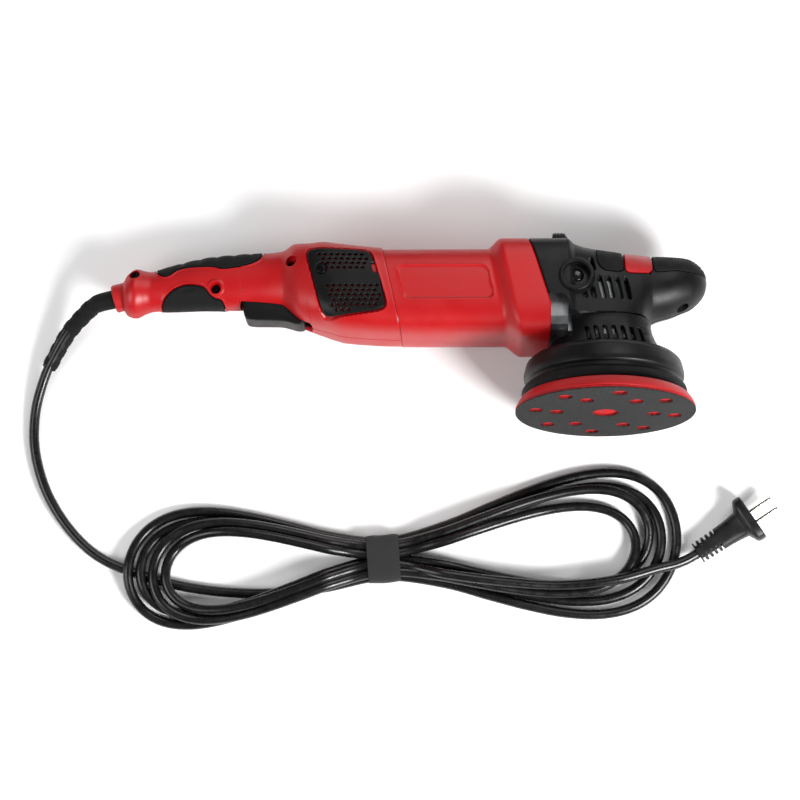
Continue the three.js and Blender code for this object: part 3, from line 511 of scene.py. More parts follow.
def handle_shell(side):
    """One shell: the casing's half between the ball at the back and the leaning seam, set in under the grips
    and the vent cover, raised into a lip round them, and cut away for the trigger."""
    def low(x):
        open_for_trigger = eased(x - TRIGGER_SLOT[0], 0.8) * eased(TRIGGER_SLOT[1] - x, 0.8)
        return turn_at_side(HANDLE, x, HALF_GAP + (TRIGGER_HALF_WIDTH - HALF_GAP) * open_for_trigger, -1)

    def seam(y):
        return SEAM_X - HALF_GAP - SEAM_SLOPE * y

    x, turn = patch(HANDLE, lambda y: HANDLE[0, 0] + 0 * y, seam, low,
                    lambda x: turn_at_side(HANDLE, x, HALF_GAP + 0 * x, 1), 262, 138)
    outer = on_casing(HANDLE, x, turn)
    inner = on_casing(HANDLE, x, turn, SHELL_WALL)
    px, py, pz = np.moveaxis(outer, -1, 0)
    grips = np.maximum(inside(rounded(UPPER_GRIP), px, py), inside(rounded(LOWER_GRIP), px, py))
    cover = inside(rounded(VENT_COVER), px, py)
    height = -(GRIP_DEPTH + POCKET_GAP) * eased(grips + POCKET_GAP, 0.7) + 0.45 * groove(grips + 1.15, 0.55)
    height -= (COVER_DEPTH + POCKET_GAP) * eased(cover + POCKET_GAP, 0.7)
    height += 0.25 * groove(cover + 1.1, 0.5)
    middle_x, middle_y, _ = SCREWS["middle"]
    height += 0.55 * eased(5.9 - np.hypot(px - middle_x, py - middle_y), 0.8)
    height -= 0.35 * groove(px - SEAM_X + SEAM_SLOPE * py, 0.5) + 0.3 * groove(pz, 0.45)
    normal = outward(outer)
    outer = outer + normal * height[..., None]
    inner = inner + normal * np.minimum(height, 0)[..., None]
    keep = None
    if side > 0:
        for sx, sy, seat in SCREWS.values():
            sunk = eased(SCREW_BORE - np.hypot(px - sx, py - sy), 0.7) * (pz > 5)
            outer[..., 2] += (seat - outer[..., 2]) * sunk
            inner[..., 2] += (seat - 2.0 - inner[..., 2]) * sunk
    else:
        rear, front, near, far = DIAL_SLOT
        dial_slot = (eased(px - rear, 0.8) * eased(front - px, 0.8) * eased(pz - near, 0.8)
                     * eased(far - pz, 0.8) * (py > 20))
        outer[..., 1] -= 1.2 * dial_slot
        keep = (dial_slot[:-1, :-1] + dial_slot[1:, 1:]) / 2 < 0.9
    return tool_wall(outer, inner, side, keep=keep)


# Spark-eroded ABS: an even, slightly orange red with a satin gloss and a texture that can just be felt.
red_abs = surface("moulded_red_abs", "A2060C", "AE0A10", 22, (0.34, 0.46), 0.9, 0.03, IOR=1.54,
                  Specular_IOR_Level=0.35)
for hand, side in RIGHT_AND_LEFT:
    shell = mesh_of("red_handle_shell_" + hand, [handle_shell(side), half_collar(side)])
    drop_loose(shell)
    fit(shell, red_abs, "red_abs", "handle_shell_" + hand)

# ---- The rubber grips of the handle ----
# Soft black overmoulded pads, one above and one below on each shell, let 1.4 mm into the red and standing
# half a millimetre proud with a rolled edge. Low finger ribs cross the top of the upper ones.
FINGER_PITCH = 12.2


def rolled_edge(share):
    """A quarter circle that rises from 0 at an edge to 1, share being the distance from the edge over its
    radius."""
    return np.sqrt(1 - (1 - np.clip(share, 0, 1)) ** 2)


def pillow(sections, x, turn, depth, proud, relief=0.0, roll=1.6, spread=(True, True, True, True)):
    """A pad let into a casing: its skin stands proud and rolls down into its pocket over the last stretch
    before each of the edges named in spread (rear, front, low, high). relief is added to the height away
    from them."""
    base = on_casing(sections, x, turn)
    normal = outward(base)
    steps_along = np.linalg.norm(np.diff(base, axis=0, append=base[-1:]), axis=-1)
    steps_across = np.linalg.norm(np.diff(base, axis=1, append=base[:, -1:]), axis=-1)
    along, across = np.cumsum(steps_along, axis=0), np.cumsum(steps_across, axis=1)
    ways = [along - along[:1], along[-1:] - along, across - across[:, :1], across[:, -1:] - across]
    border = np.min([way for way, used in zip(ways, spread) if used], axis=0)
    height = 0.3 - depth + (proud + depth - 0.3) * rolled_edge(border / roll)
    height = height + relief * np.clip(border / roll - 0.8, 0, 1)
    return base + normal * height[..., None], base - normal * depth


def edge_of(outline):
    """The height of an outline's free edge over a given x, from its rounded corners."""
    points = rounded(outline)
    points = points[np.abs(points[:, 1]) < 38]
    order = points[np.argsort(points[:, 0])]
    return lambda x: np.interp(x, order[:, 0], order[:, 1])


def handle_grip(side, outline, top):
    """One grip: from its outline's free edge to the centre plane above (1) or below (-1)."""
    ends = (min(p[0] for p in outline) + 0.2, max(p[0] for p in outline) - 0.2)
    free_edge = edge_of(outline)

    def free(x):
        return turn_at_height(HANDLE, x, free_edge(x) + top * 0.2)

    def middle(x):
        return turn_at_side(HANDLE, x, HALF_GAP + 0 * x, top)

    low, high = (free, middle) if top > 0 else (middle, free)
    x, turn = patch(HANDLE, lambda y: ends[0] + 0 * y, lambda y: ends[1] + 0 * y, low, high, 128, 54)
    if top > 0:
        scallop = np.abs(np.cos(math.pi * x / FINGER_PITCH)) ** 0.6 - 0.7
        relief = 0.9 * scallop * eased(turn - 0.75, 0.5) * eased(x + 305, 5) * eased(-249 - x, 5)
    else:
        relief = -0.8 * np.exp(-(((x + 294) / 5) ** 2 + ((turn + 0.35) / 0.22) ** 2) ** 2)
    spread = (True, True, top > 0, top < 0)
    return tool_wall(*pillow(HANDLE, x, turn, GRIP_DEPTH, GRIP_PROUD, relief, spread=spread), side)


# Moulded thermoplastic rubber: nearly black, matt, with a leather-fine grain and a trace of handling dust.
grip_rubber = surface("moulded_grip_rubber", "080809", "101112", 9, (0.6, 0.8), 0.7, 0.06, IOR=1.5,
                      Specular_IOR_Level=0.2)
for hand, side in RIGHT_AND_LEFT:
    for place, outline, top in (("upper", UPPER_GRIP, 1), ("lower", LOWER_GRIP, -1)):
        grip = mesh_of(f"rubber_{place}_grip_{hand}", [handle_grip(side, outline, top)])
        fit(grip, grip_rubber, "grip_rubber", f"{place}_grip_{hand}")

# ---- The vent covers and their screws ----
# Black nylon plates over the motor's air inlets, one a side, each held by a pan-head screw. Two fields of
# staggered holes 2.6 mm across go right through, with a plain band between them and a notch in the front
# edge.
HOLE_RADIUS, HOLE_PITCH, ROW_PITCH = 1.3, 4.3, 3.4
# Each field's top row and its number of rows.
VENT_FIELDS = ((22.2, 4), (-1.2, 6))
COVER_LEAN = 0.27
COVER_PROUD = 0.7
COVER_CENTRE = np.array([-180.5, 12.4])
COVER_NOTCH = np.array([(-156.76, 8.0), (-161.14, 9.4), (-162.76, 15.4), (-159.14, 16.8)])
SCREW_SEAT = 31.55


def cover_ring(points):
    """The cover's rounded outline with the notch put in, in even steps, starting at the notch."""
    border = rounded(VENT_COVER, 5.0, 4)
    border = np.roll(border, -np.argmin(np.abs(border[:, 1] - 8.6) + 99 * (border[:, 0] < -170)), axis=0)
    cut = (border[:, 0] > -170) & (np.abs(border[:, 1] - COVER_CENTRE[1]) < 4.6)
    notch = COVER_NOTCH[::-1] if border[1, 1] < border[0, 1] else COVER_NOTCH
    border = np.concatenate([notch, border[~cut]])
    border = COVER_CENTRE + (border - COVER_CENTRE) * (1 - POCKET_GAP / 22)
    closed = np.concatenate([border, border[:1]])
    run = np.concatenate([[0], np.cumsum(np.linalg.norm(np.diff(closed, axis=0), axis=1))])
    even = np.linspace(0, run[-1], points, endpoint=False)
    return np.column_stack([np.interp(even, run, closed[:, i]) for i in (0, 1)])


def vent_cover(side):
    """The plate over the flank: rings of its outline shrinking to a middle level with the notch, dropped on
    the casing, with a rolled rim and the holes taken out."""
    ring = cover_ring(460)
    share = np.concatenate([np.linspace(1, 0.9, 22), np.linspace(0.9, 0, 96)[1:]])[:, None, None]
    px, py = np.moveaxis(COVER_CENTRE + (ring - COVER_CENTRE) * share, -1, 0)
    x = px
    for _ in range(6):
        turn = turn_at_height(HANDLE, x, py)
        x = x + px - on_casing(HANDLE, x, turn)[..., 0]
    base = on_casing(HANDLE, x, turn)
    normal = outward(base)
    in_hole = np.full(px.shape, -9.0)
    for first, count in VENT_FIELDS:
        for row in range(count):
            y = first - row * ROW_PITCH
            places = -193.8 - COVER_LEAN * y + HOLE_PITCH * (np.arange(9) + (row % 2) / 2)
            clear = inside(ring, places, np.full(9, y)) > HOLE_RADIUS + 1.4
            for hole_x in places[clear]:
                in_hole = np.maximum(in_hole, HOLE_RADIUS - np.hypot(px - hole_x, py - y))
    rise = COVER_DEPTH + COVER_PROUD - 0.3
    height = 0.3 - COVER_DEPTH + rise * rolled_edge(inside(ring, px, py) / 1.1) - 0.55 * eased(in_hole, 0.45)
    outer = base + normal * height[..., None]
    seat = eased(4.4 - np.hypot(px - VENT_SCREW[0], py - VENT_SCREW[1]), 0.5)
    outer[..., 2] += (SCREW_SEAT - outer[..., 2]) * seat * (outer[..., 2] > SCREW_SEAT)
    in_hole = np.concatenate([in_hole, in_hole[:, :1]], axis=1)
    keep = (in_hole[:-1, :-1] + in_hole[1:, 1:]) / 2 < 0.12
    return tool_wall(outer, base - normal * COVER_DEPTH, side, True, keep)


def screw_head(place, axis, facing, radius, height):
    """A pan head about a line along the tool's z or y, facing 1 or -1 along it: a low dome of revolution
    whose height falls as the square root of 1 - 0.85 share ^ 4, with a cross-shaped recess."""
    turn = np.linspace(0, 2 * math.pi, 64, endpoint=False)[None]
    share = np.concatenate([[0], np.linspace(1, 0, 25), [0]])[:, None]
    reach = radius * share
    up = height * np.sqrt(1 - 0.85 * share ** 4) + 0 * turn
    up[:2] = 0
    flat_x, flat_y = reach * np.cos(turn), reach * np.sin(turn)
    arm = np.minimum(np.abs(flat_x), np.abs(flat_y))
    up = up - 0.9 * eased(0.42 - arm, 0.3) * eased(0.58 * radius - reach, 0.3) * (up > 0)
    rise = facing * up
    head = [flat_x, flat_y, rise] if axis == "z" else [flat_x, rise, flat_y]
    return tube_part(laid(np.stack(head, axis=-1) + np.array(place)))


# Black oxide on steel: nearly black, with a thin oily gleam.
black_oxide = surface("black_oxide_steel", "141416", "232326", 1.6, (0.3, 0.45), 0.35, 0.012, Metallic=1.0)
# Glass-filled nylon: a dull black that shows a fine sandy grain under low light.
black_nylon = surface("glass_filled_nylon", "050506", "0B0B0C", 12, (0.36, 0.5), 0.8, 0.04, IOR=1.53,
                      Specular_IOR_Level=0.2)
for hand, side in RIGHT_AND_LEFT:
    cover = mesh_of("pierced_vent_cover_" + hand, [vent_cover(side)])
    drop_loose(cover)
    fit(cover, black_nylon, "black_nylon", "vent_cover_" + hand)
    head = mesh_of("vent_cover_screw_" + hand, [screw_head((*VENT_SCREW, side * 31.7), "z", side, 3.6, 1.5)])
    fit(head, black_oxide, "steel", "vent_screw_" + hand)
for place, (x, y, seat) in SCREWS.items():
    head = mesh_of(f"handle_{place}_screw_head", [screw_head((x, y, seat + 0.3), "z", 1, 3.0, 2.1)])
    fit(head, black_oxide, "steel", "handle_screw_" + place)

# ---- The trigger ----
# One black nylon lever under the handle, hinged at its front end, with rolled edges. It is moulded in one.
TRIGGER = [(-256, -3), (-253.5, -16.6), (-250, -18.2), (-226, -18.8), (-214, -22.5), (-210, -20), (-211, -9),
           (-216, -3)]


def block(outline, half_width, roll, steps=9, middle=0.0):
    """A block with a side-view outline and rolled edges: rings of the outline from face to face, drawn in
    towards its centre by a quarter circle at each end, closed by the centre point."""
    ring = np.asarray(outline, float)
    centre = ring.mean(axis=0)
    quarter = np.linspace(0, math.pi / 2, steps)
    inset = roll * (1 - np.sin(quarter))
    inset = np.concatenate([inset, inset[::-1]])
    z = half_width - roll * (1 - np.cos(quarter))
    z = np.concatenate([-z, z[::-1]]) + middle
    away = ring - centre
    size = np.linalg.norm(away, axis=1, keepdims=True)
    rings = centre + away[None] * (1 - inset[:, None, None] / size[None])
    grid = np.concatenate([rings, np.broadcast_to(z[:, None, None], rings.shape[:2] + (1,))], axis=2)
    ends = [np.broadcast_to([*centre, z[i]], (1, len(ring), 3)) for i in (0, -1)]
    return np.concatenate([ends[0], grid, ends[1]])


trigger = mesh_of("black_trigger_lever", [tube_part(laid(block(rounded(TRIGGER), 9.5, 2.2)))])
fit(trigger, black_nylon, "black_nylon", "trigger", body="trigger")

# ---- The motor housing ----
# A red ABS tube, moulded in one. It flares at the front to meet the gearbox, and each flank has a shallow
# blank panel where a rating plate would be stuck.
MOTOR_HOUSING = np.array([(-162, 0, 31.5, 31.5, 3.8, 0.22), (-76, 0, 31.5, 31.5, 3.8, 0.2),
                          (-64.5, 0, 37, 37, 5, 0.2), (-25, 0, 37, 37, 5, 0.2)])
LABEL_PANEL = [(-145, 14), (-82, 14), (-77, -10), (-140, -10)]


def collar_edge(y):
    """The x of the housing's front edge at height y: upright at its foot, leaning back above it."""
    return -37.9 - 0.2987 * np.maximum(y + 15, 0)


def motor_housing():
    """The whole tube, from the leaning seam to the front edge, with the panels let in and the edge
    rounded."""
    columns = 240
    x, turn = patch(MOTOR_HOUSING, lambda y: SEAM_X + HALF_GAP - SEAM_SLOPE * y, collar_edge,
                    lambda x: -math.pi / 2 + 0 * x, lambda x: 1.5 * math.pi - 2 * math.pi / columns + 0 * x,
                    120, columns)
    outer = on_casing(MOTOR_HOUSING, x, turn)
    px, py, _ = np.moveaxis(outer, -1, 0)
    panel = inside(rounded(LABEL_PANEL), px, py)
    height = 0.18 * groove(panel + 0.9, 0.5) - 0.7 * eased(panel, 0.8)
    height = height - 0.9 * np.clip(1 - collar_edge(py) + px, 0, 1) ** 2
    return tool_wall(outer + outward(outer) * height[..., None], on_casing(MOTOR_HOUSING, x, turn, 3.0),
                     wrap=True)


housing = mesh_of("red_motor_housing", [motor_housing()])
fit(housing, red_abs, "red_abs", "motor_housing")

# ---- The head covers ----
# Two black glass-filled nylon halves over the gearbox, meeting on the centre plane. They carry a ribbed tab
# on top, cooling slots, a boss on each flank for the side handle, and a long nose that the front hand holds.
HEAD = np.array([
    (-60, 0, 37, 37, 5, 0), (-26, 0, 37, 37, 5, 0), (-20, -10, 45.1, 35, 3.6, 0),
    (-12.6, -11, 44, 34, 3.4, 0), (4.4, -12.5, 43, 32.6, 3.2, 0), (13.4, -11, 40.7, 31, 2.9, 0),
    (25, -3, 32.3, 28, 2.4, 0), (34, 4.8, 24.3, 25, 2, 0), (49.5, 7.3, 21.4, 23, 2, 0),
    (61, 9, 18.4, 19, 2, 0), (68, 9.6, 13.6, 14, 2, 0), (72.5, 9.9, 7.6, 7.8, 2, 0),
    (74.5, 10, 0.3, 0.3, 2, 0)])
SHROUD_TOP = -20.7
NOSE_FROM = 33.6
HEAD_WALL = 3.4
PAD_DEPTH = 1.8
PAD_REAR = [(-5.4, 60), (-4.8, 16), (-1.5, 10.6), (3, 9.3), (14.1, 9.4), (14.1, 60)]
PAD_INLAY = [(14.4, 60), (14.6, 8.6), (34.2, 9.8), (34.5, 60)]
PAD_FRONT = [(34.8, 60), (34.8, 10.6), (50, 13), (65, 12.3), (90, 12.5), (90, 60)]
BOSS = (-19.9, 4.8)
BOSS_RADIUS, SOCKET_RADIUS, SOCKET_FLOOR, BOSS_RIM = 12, 9, 32.4, 39.4
NOSE_SCREW_X, NOSE_SCREW_Z = 56, 7
TAB_X, TAB_HALF, TAB_TOP = -31.1, 4.3, 42.6
SLOT_LEAN = 0.2
# Rows of cooling slots: x of the first, pitch, count, foot, top and width.
HEAD_SLOTS = ((-4, 6.1, 4, -11.4, 5.4, 3.2), (-16, 6.1, 2, -11.4, -2.4, 3.2), (-10, 6.1, 1, 9.4, 20.4, 2.8))


def cover_foot(x):
    """The height of a head cover's lower edge: above the bare gearbox flank, down to the shroud, then
    none."""
    return np.interp(x, (-29, -25.4, -24.2, NOSE_FROM - 1, NOSE_FROM + 2),
                     (-9, -12.5, SHROUD_TOP, SHROUD_TOP, -90))


def slot_depth(px, py, first, pitch, count, foot, top, width):
    """How far a point is inside the nearest of a row of round-ended slots whose tops lean back."""
    depth = np.full(px.shape, -9.0)
    for n in range(count):
        middle = first + n * pitch + width / 2 - SLOT_LEAN * (py - (foot + top) / 2)
        past = np.maximum(np.maximum(foot + width / 2 - py, py - top + width / 2), 0)
        depth = np.maximum(depth, width / 2 - np.hypot(px - middle, past))
    return depth


def head_cover(side):
    """One half: the head's casing from its edge against the red housing to the nose, with the pads' pocket
    let in and the slots cut through."""
    def foot(x):
        centre_plane = turn_at_side(HEAD, x, HALF_GAP + 0 * x, -1)
        return np.maximum(turn_at_height(HEAD, x, cover_foot(x)), centre_plane)

    x, turn = patch(HEAD, lambda y: collar_edge(y) + 0.3, lambda y: HEAD[-1, 0] + 0 * y, foot,
                    lambda x: turn_at_side(HEAD, x, HALF_GAP + 0 * x, 1), 226, 150)
    outer = on_casing(HEAD, x, turn)
    inner = on_casing(HEAD, np.minimum(x, 71.6), turn, HEAD_WALL)
    px, py, pz = np.moveaxis(outer, -1, 0)
    pads = np.max([inside(rounded(pad), px, py) for pad in (PAD_REAR, PAD_INLAY, PAD_FRONT)], axis=0)
    slots = np.max([slot_depth(px, py, *row) for row in HEAD_SLOTS], axis=0)
    height = -(PAD_DEPTH + POCKET_GAP) * eased(pads + POCKET_GAP, 0.6) - 1.3 * eased(slots, 0.7)
    height -= 0.9 * np.clip(1 - (px - collar_edge(py) - 0.3) / 0.9, 0, 1) ** 2 + 0.5 * groove(pz - 0.15, 0.5)
    sunk = eased(3.7 - np.hypot(px - NOSE_SCREW_X, pz - NOSE_SCREW_Z), 0.7) * (py < 0)
    normal = outward(outer)
    outer = outer + normal * height[..., None]
    inner = inner + normal * (np.minimum(height, 0) * (slots < -0.5))[..., None]
    for skin, floor in ((outer, -6.6), (inner, -4.0)):
        skin[..., 1] += (floor - skin[..., 1]) * sunk * (skin[..., 1] < floor)
    keep = (slots[:-1, :-1] + slots[1:, 1:]) / 2 < 0.2
    return tool_wall(outer, inner, side, keep=keep)


def lathe(profile, centre, side=1, columns=96, axis="z", closed=False):
    """A profile of (radius, height) points turned about a line along the tool's z or y through the centre."""
    radius, height = np.asarray(profile, float).T[:, :, None]
    turn = np.linspace(0, 2 * math.pi, columns, endpoint=False)[None]
    round_x, round_y, up = radius * np.cos(turn), radius * np.sin(turn), side * height + 0 * turn
    grid = [round_x, round_y, up] if axis == "z" else [round_x, up, round_y]
    return tube_part(laid(np.stack(grid, axis=-1) + np.array(centre)), closed)


def top_tab(side):
    """Half of the tab on top: a squared arch that rises from the casing, with ridges across its crown. Its
    front falls as the cube of the distance left to its foot, in a hollow sweep to the nose."""
    along = np.concatenate([np.linspace(-TAB_HALF, TAB_HALF, 40), np.linspace(4.5, 14, 34)])[:, None]
    reach = 22 * np.linspace(0, 1, 60)[None] + 0 * along
    shoulder = 1 - np.clip((reach - 16) / 6, 0, 1) ** 3
    edge = np.clip((TAB_HALF - np.abs(np.minimum(along, 0))) / 0.9, 0, 1)
    sweep = (1 - np.clip((along - 4.2) / 9, 0, 1)) ** 3
    ridges = 0.35 * np.cos(2 * math.pi * along / 2.1) * edge * (along < 4.2)
    x, z = TAB_X + along + 0 * reach, HALF_GAP + reach
    skin = on_casing(HEAD, x, turn_at_side(HEAD, x, z, 1))[..., 1] - 0.8
    top = skin + (TAB_TOP - 0.9 * (1 - edge) ** 2 + ridges - skin) * sweep * shoulder
    return tool_wall(np.stack([x, top, z], axis=-1), np.stack([x, skin - 1.5, z], axis=-1), side)


boss_profile = [(0, 28.6), (BOSS_RADIUS + 1.6, 28.6), (BOSS_RADIUS + 1.2, 33.5), (BOSS_RADIUS, 36.0),
                (BOSS_RADIUS, 38.6), (BOSS_RADIUS - 0.3, 39.1), (BOSS_RADIUS - 0.8, BOSS_RIM),
                (SOCKET_RADIUS + 0.7, BOSS_RIM), (SOCKET_RADIUS + 0.2, 39.1), (SOCKET_RADIUS, 38.6),
                (SOCKET_RADIUS - 0.4, SOCKET_FLOOR + 0.6), (SOCKET_RADIUS - 1.0, SOCKET_FLOOR),
                (0, SOCKET_FLOOR)]
dome_turn = np.linspace(0, math.pi / 2, 14)
dome_profile = [(0, 32.7), (5.4, 32.7), *zip(5.4 * np.cos(dome_turn), 33.4 + 3.2 * np.sin(dome_turn))]
# Moulded acetal with a polished dome that takes one sharp highlight.
polished_plug = surface("polished_black_acetal", "050505", "0B0B0B", 5, (0.14, 0.24), 1.0, 0.01, IOR=1.48)
for hand, side in RIGHT_AND_LEFT:
    cover = mesh_of("black_head_cover_" + hand,
                    [head_cover(side), top_tab(side), lathe(boss_profile, (*BOSS, 0), side)])
    drop_loose(cover)
    fit(cover, black_nylon, "black_nylon", "front_cover_" + hand)
    dome = mesh_of("side_handle_socket_plug_" + hand, [lathe(dome_profile, (*BOSS, 0), side, 48)])
    fit(dome, polished_plug, "black_nylon", "side_handle_plug_" + hand)
    head = mesh_of("nose_screw_head_" + hand,
                   [screw_head((NOSE_SCREW_X, -4.4, side * NOSE_SCREW_Z), "y", -1, 3.2, 2.0)])
    fit(head, black_oxide, "steel", "nose_screw_" + hand)

# ---- The front grip ----
# Soft pads laid over the top of the nose: a plain rubber one, a red ABS inlay, and a long rubber one whose
# crown is knurled so that a wet hand holds it. Each goes right over the top in one piece.
KNURL_PITCH = 2.2


def saddle(outline, rows, columns, proud, knurl=0.0):
    """A pad from its edge on the right flank, over the top, to the same edge on the left. The knurl is a
    product of two cosines, one along the nose and one round it."""
    free_edge = edge_of(outline)
    rear, front = min(p[0] for p in outline), max(p[0] for p in outline)

    def right(x):
        return turn_at_height(HEAD, x, free_edge(np.clip(x, -4.9, 74)) + 0.2)

    def end(limit):
        return lambda y: np.clip(limit, -5.0 - 0.012 * (y - 16), 74.3) + 0 * y

    x, turn = patch(HEAD, end(rear + 0.2), end(front - 0.2), right, lambda x: math.pi - right(x), rows,
                    columns)
    crown = eased(np.sin(turn) - 0.62, 0.25) * eased(x - 37, 3)
    relief = knurl * crown * np.cos(2 * math.pi * x / KNURL_PITCH) * np.cos(20 * turn / KNURL_PITCH)
    return tool_wall(*pillow(HEAD, x, turn, PAD_DEPTH, proud, relief, 1.0, (True, front < 80, True, True)))


for name, node, outline, rows, columns, material, slot, knurl in (
        ("rear_rubber_saddle", "front_grip_pad_rear", PAD_REAR, 44, 150, grip_rubber, "grip_rubber", 0.0),
        ("red_saddle_inlay", "front_grip_inlay", PAD_INLAY, 44, 150, red_abs, "red_abs", 0.0),
        ("front_rubber_saddle", "front_grip_pad_front", PAD_FRONT, 110, 190, grip_rubber, "grip_rubber",
         0.3)):
    fit(mesh_of(name, [saddle(outline, rows, columns, 0.15, knurl)]), material, slot, node)

# ---- The shroud and its skirt ----
# A black nylon bell round the orbit drive, open at the back for the gearbox, with flat slotted flanks. A soft
# rubber skirt hangs from its rim and keeps dust off the bearings.
BELL = [(34, -21), (33.8, -24), (34.6, -29), (36.4, -34), (39.2, -40), (41.2, -43.4), (44.6, -44.6),
        (51, -46.8),
        (54.2, -50.0), (55.4, -54.4), (56.2, -58.5), (55.9, -61.5), (55.0, -62.6), (54.0, -63.2), (54, -65.7)]
BELL_WALL = 2.4
BACK_CUT, BACK_CUT_ABOVE = -23.0, -36.6
FLANK = 33.0
BELL_SLOTS = (-13.3, 6.2, 7, -45.5, -30.5, 2.6)


def flat_sided(grid, inset):
    """Draws the column's sides in to flat flanks about FLANK from the centre plane; the rim below stays
    round."""
    half = np.interp(-grid[..., 1], (42.8, 44.6), (FLANK, 3 * FLANK)) - inset
    flat = grid.copy()
    flat[..., 2] *= (1 + (np.abs(grid[..., 2]) / half) ** 8) ** (-1 / 8)
    return flat


def bell_part(rows, columns, top, foot):
    """A stretch of the bell between two heights. Above BACK_CUT_ABOVE it stops at the flat back cut, so the
    half turn at radius r is arccos(cut / r); below that the wall goes right round."""
    profile = np.asarray(BELL, float)
    y = np.linspace(top, foot, rows)[:, None]
    radius = np.interp(-y, -profile[:, 1], profile[:, 0])
    soft = np.convolve(np.pad(radius[:, 0], 2, "edge"), np.ones(5) / 5, "valid")[:, None]
    radius = np.where(np.abs(y + 63) < 2, radius, soft)
    wrap = top <= BACK_CUT_ABOVE
    half_turn = math.pi if wrap else np.arccos(BACK_CUT / radius)
    turn = half_turn * np.linspace(-1, 1, columns, endpoint=not wrap)[None]
    outer, inner = (flat_sided(np.stack([(radius - inset) * np.cos(turn), y + 0 * turn,
                                         (radius - inset) * np.sin(turn)], -1), inset)
                    for inset in (0, BELL_WALL))
    slots = slot_depth(outer[..., 0], outer[..., 1], *BELL_SLOTS) - 9 * (np.abs(outer[..., 2]) < 20)
    outer = outer - outward(outer) * (0.9 * eased(slots, 0.6))[..., None]
    if wrap:
        slots = np.concatenate([slots, slots[:, :1]], axis=1)
    keep = (slots[:-1, :-1] + slots[1:, 1:]) / 2 < 0.15
    return tool_wall(outer, inner, wrap=wrap, keep=keep)


BELL_FLOOR = [(13.5, -39.4), (36.5, -39.4), (35.5, -36.4), (13.5, -36.4)]
floor_radius, floor_height = np.array(BELL_FLOOR).T[..., None]
turn = np.linspace(0, 2 * math.pi, 96, endpoint=False)[None]
floor = np.stack([floor_radius * np.cos(turn), floor_height + 0 * turn, floor_radius * np.sin(turn)], axis=-1)
bell = mesh_of("black_drive_shroud", [bell_part(52, 300, -21, BACK_CUT_ABOVE),
                                      bell_part(72, 420, BACK_CUT_ABOVE - 0.02, -65.7),
                                      tube_part(laid(flat_sided(floor, 1.4)), True)])
drop_loose(bell)
fit(bell, black_nylon, "black_nylon", "shroud")
SKIRT = [(51.4, -66), (54.6, -66), (57, -68), (58, -71), (57.4, -74), (55.6, -75.4), (53.4, -75.2),
         (53.4, -69.4),
         (51.4, -69.4)]
skirt = mesh_of("rubber_dust_skirt", [lathe(rounded(SKIRT, 1.2), (0, 0, 0), 1, 160, "y", True)])
fit(skirt, grip_rubber, "grip_rubber", "rubber_skirt")

# ---- The backing plate and the hook disc ----
# A red plate 125 mm across, moulded in stiff polyurethane, and the black hook disc glued to its face. A
# centre hole and two rings of dust holes run through the disc into the plate.
ORBIT = 7.5
PAD_RADIUS, PAD_FACE, PLATE_FACE, HOLE_FLOOR = 62.5, -87.0, -84.8, -80.6
# Dust holes: number in the ring, its radius, its first angle and the holes' radius.
DUST_HOLES = []
for count, ring, first, size in ((1, 0, 0, 8.5), (6, 34, 55.5, 4.5), (8, 49, -8, 4.5)):
    for turn in np.radians(first + np.arange(count) * 360 / count):
        DUST_HOLES.append((ring * math.cos(turn), ring * math.sin(turn), size))


def pierced_face(radius, y, floor, larger, rows, columns):
    """A polar grid of a flat face at height y whose holes, larger by a little, sink to the floor. Each
    point's depth comes from its distance to the nearest hole's rim."""
    ring = radius * np.linspace(1, 0, rows)[:, None]
    turn = np.linspace(0, 2 * math.pi, columns, endpoint=False)[None]
    px, pz = ring * np.cos(turn), ring * np.sin(turn)
    depth = np.max([size + larger - np.hypot(px - x, pz - z) for x, z, size in DUST_HOLES], axis=0)
    return np.stack([px, y + (floor - y) * eased(depth, 0.7), pz + ORBIT], axis=-1)


def round_pad(face, back, rim):
    """A disc from its pierced face round a rim profile to the profile of its back, closed at both middles."""
    turn = np.linspace(0, 2 * math.pi, face.shape[1], endpoint=False)[None]
    radius, height = np.asarray(rim + back, float).T[:, :, None]
    rest = np.stack([radius * np.cos(turn), height + 0 * turn, radius * np.sin(turn) + ORBIT], axis=-1)
    return tube_part(laid(np.concatenate([face[::-1], rest])))


# Moulded polyurethane: a strong red with a soft sheen, slightly lighter where polishing dust has settled.
pad_red = surface("moulded_red_polyurethane", "A2070D", "B00C12", 14, (0.4, 0.58), 1.0, 0.03, IOR=1.5,
                  Specular_IOR_Level=0.3)


def ribbed_surface(material, out, colour, height, strength, relief, **shader):
    """Ends a ribbed or woven material: a shader of that colour, its bump relief metres deep by the height."""
    bump = add_node(material, "ShaderNodeBump", Height=height, Strength=strength, Distance=relief)
    skin = add_node(material, "ShaderNodeBsdfPrincipled", Base_Color=colour, Normal=bump.outputs[0], **shader)
    material.node_tree.links.new(skin.outputs[0], out.inputs[0])
    return material


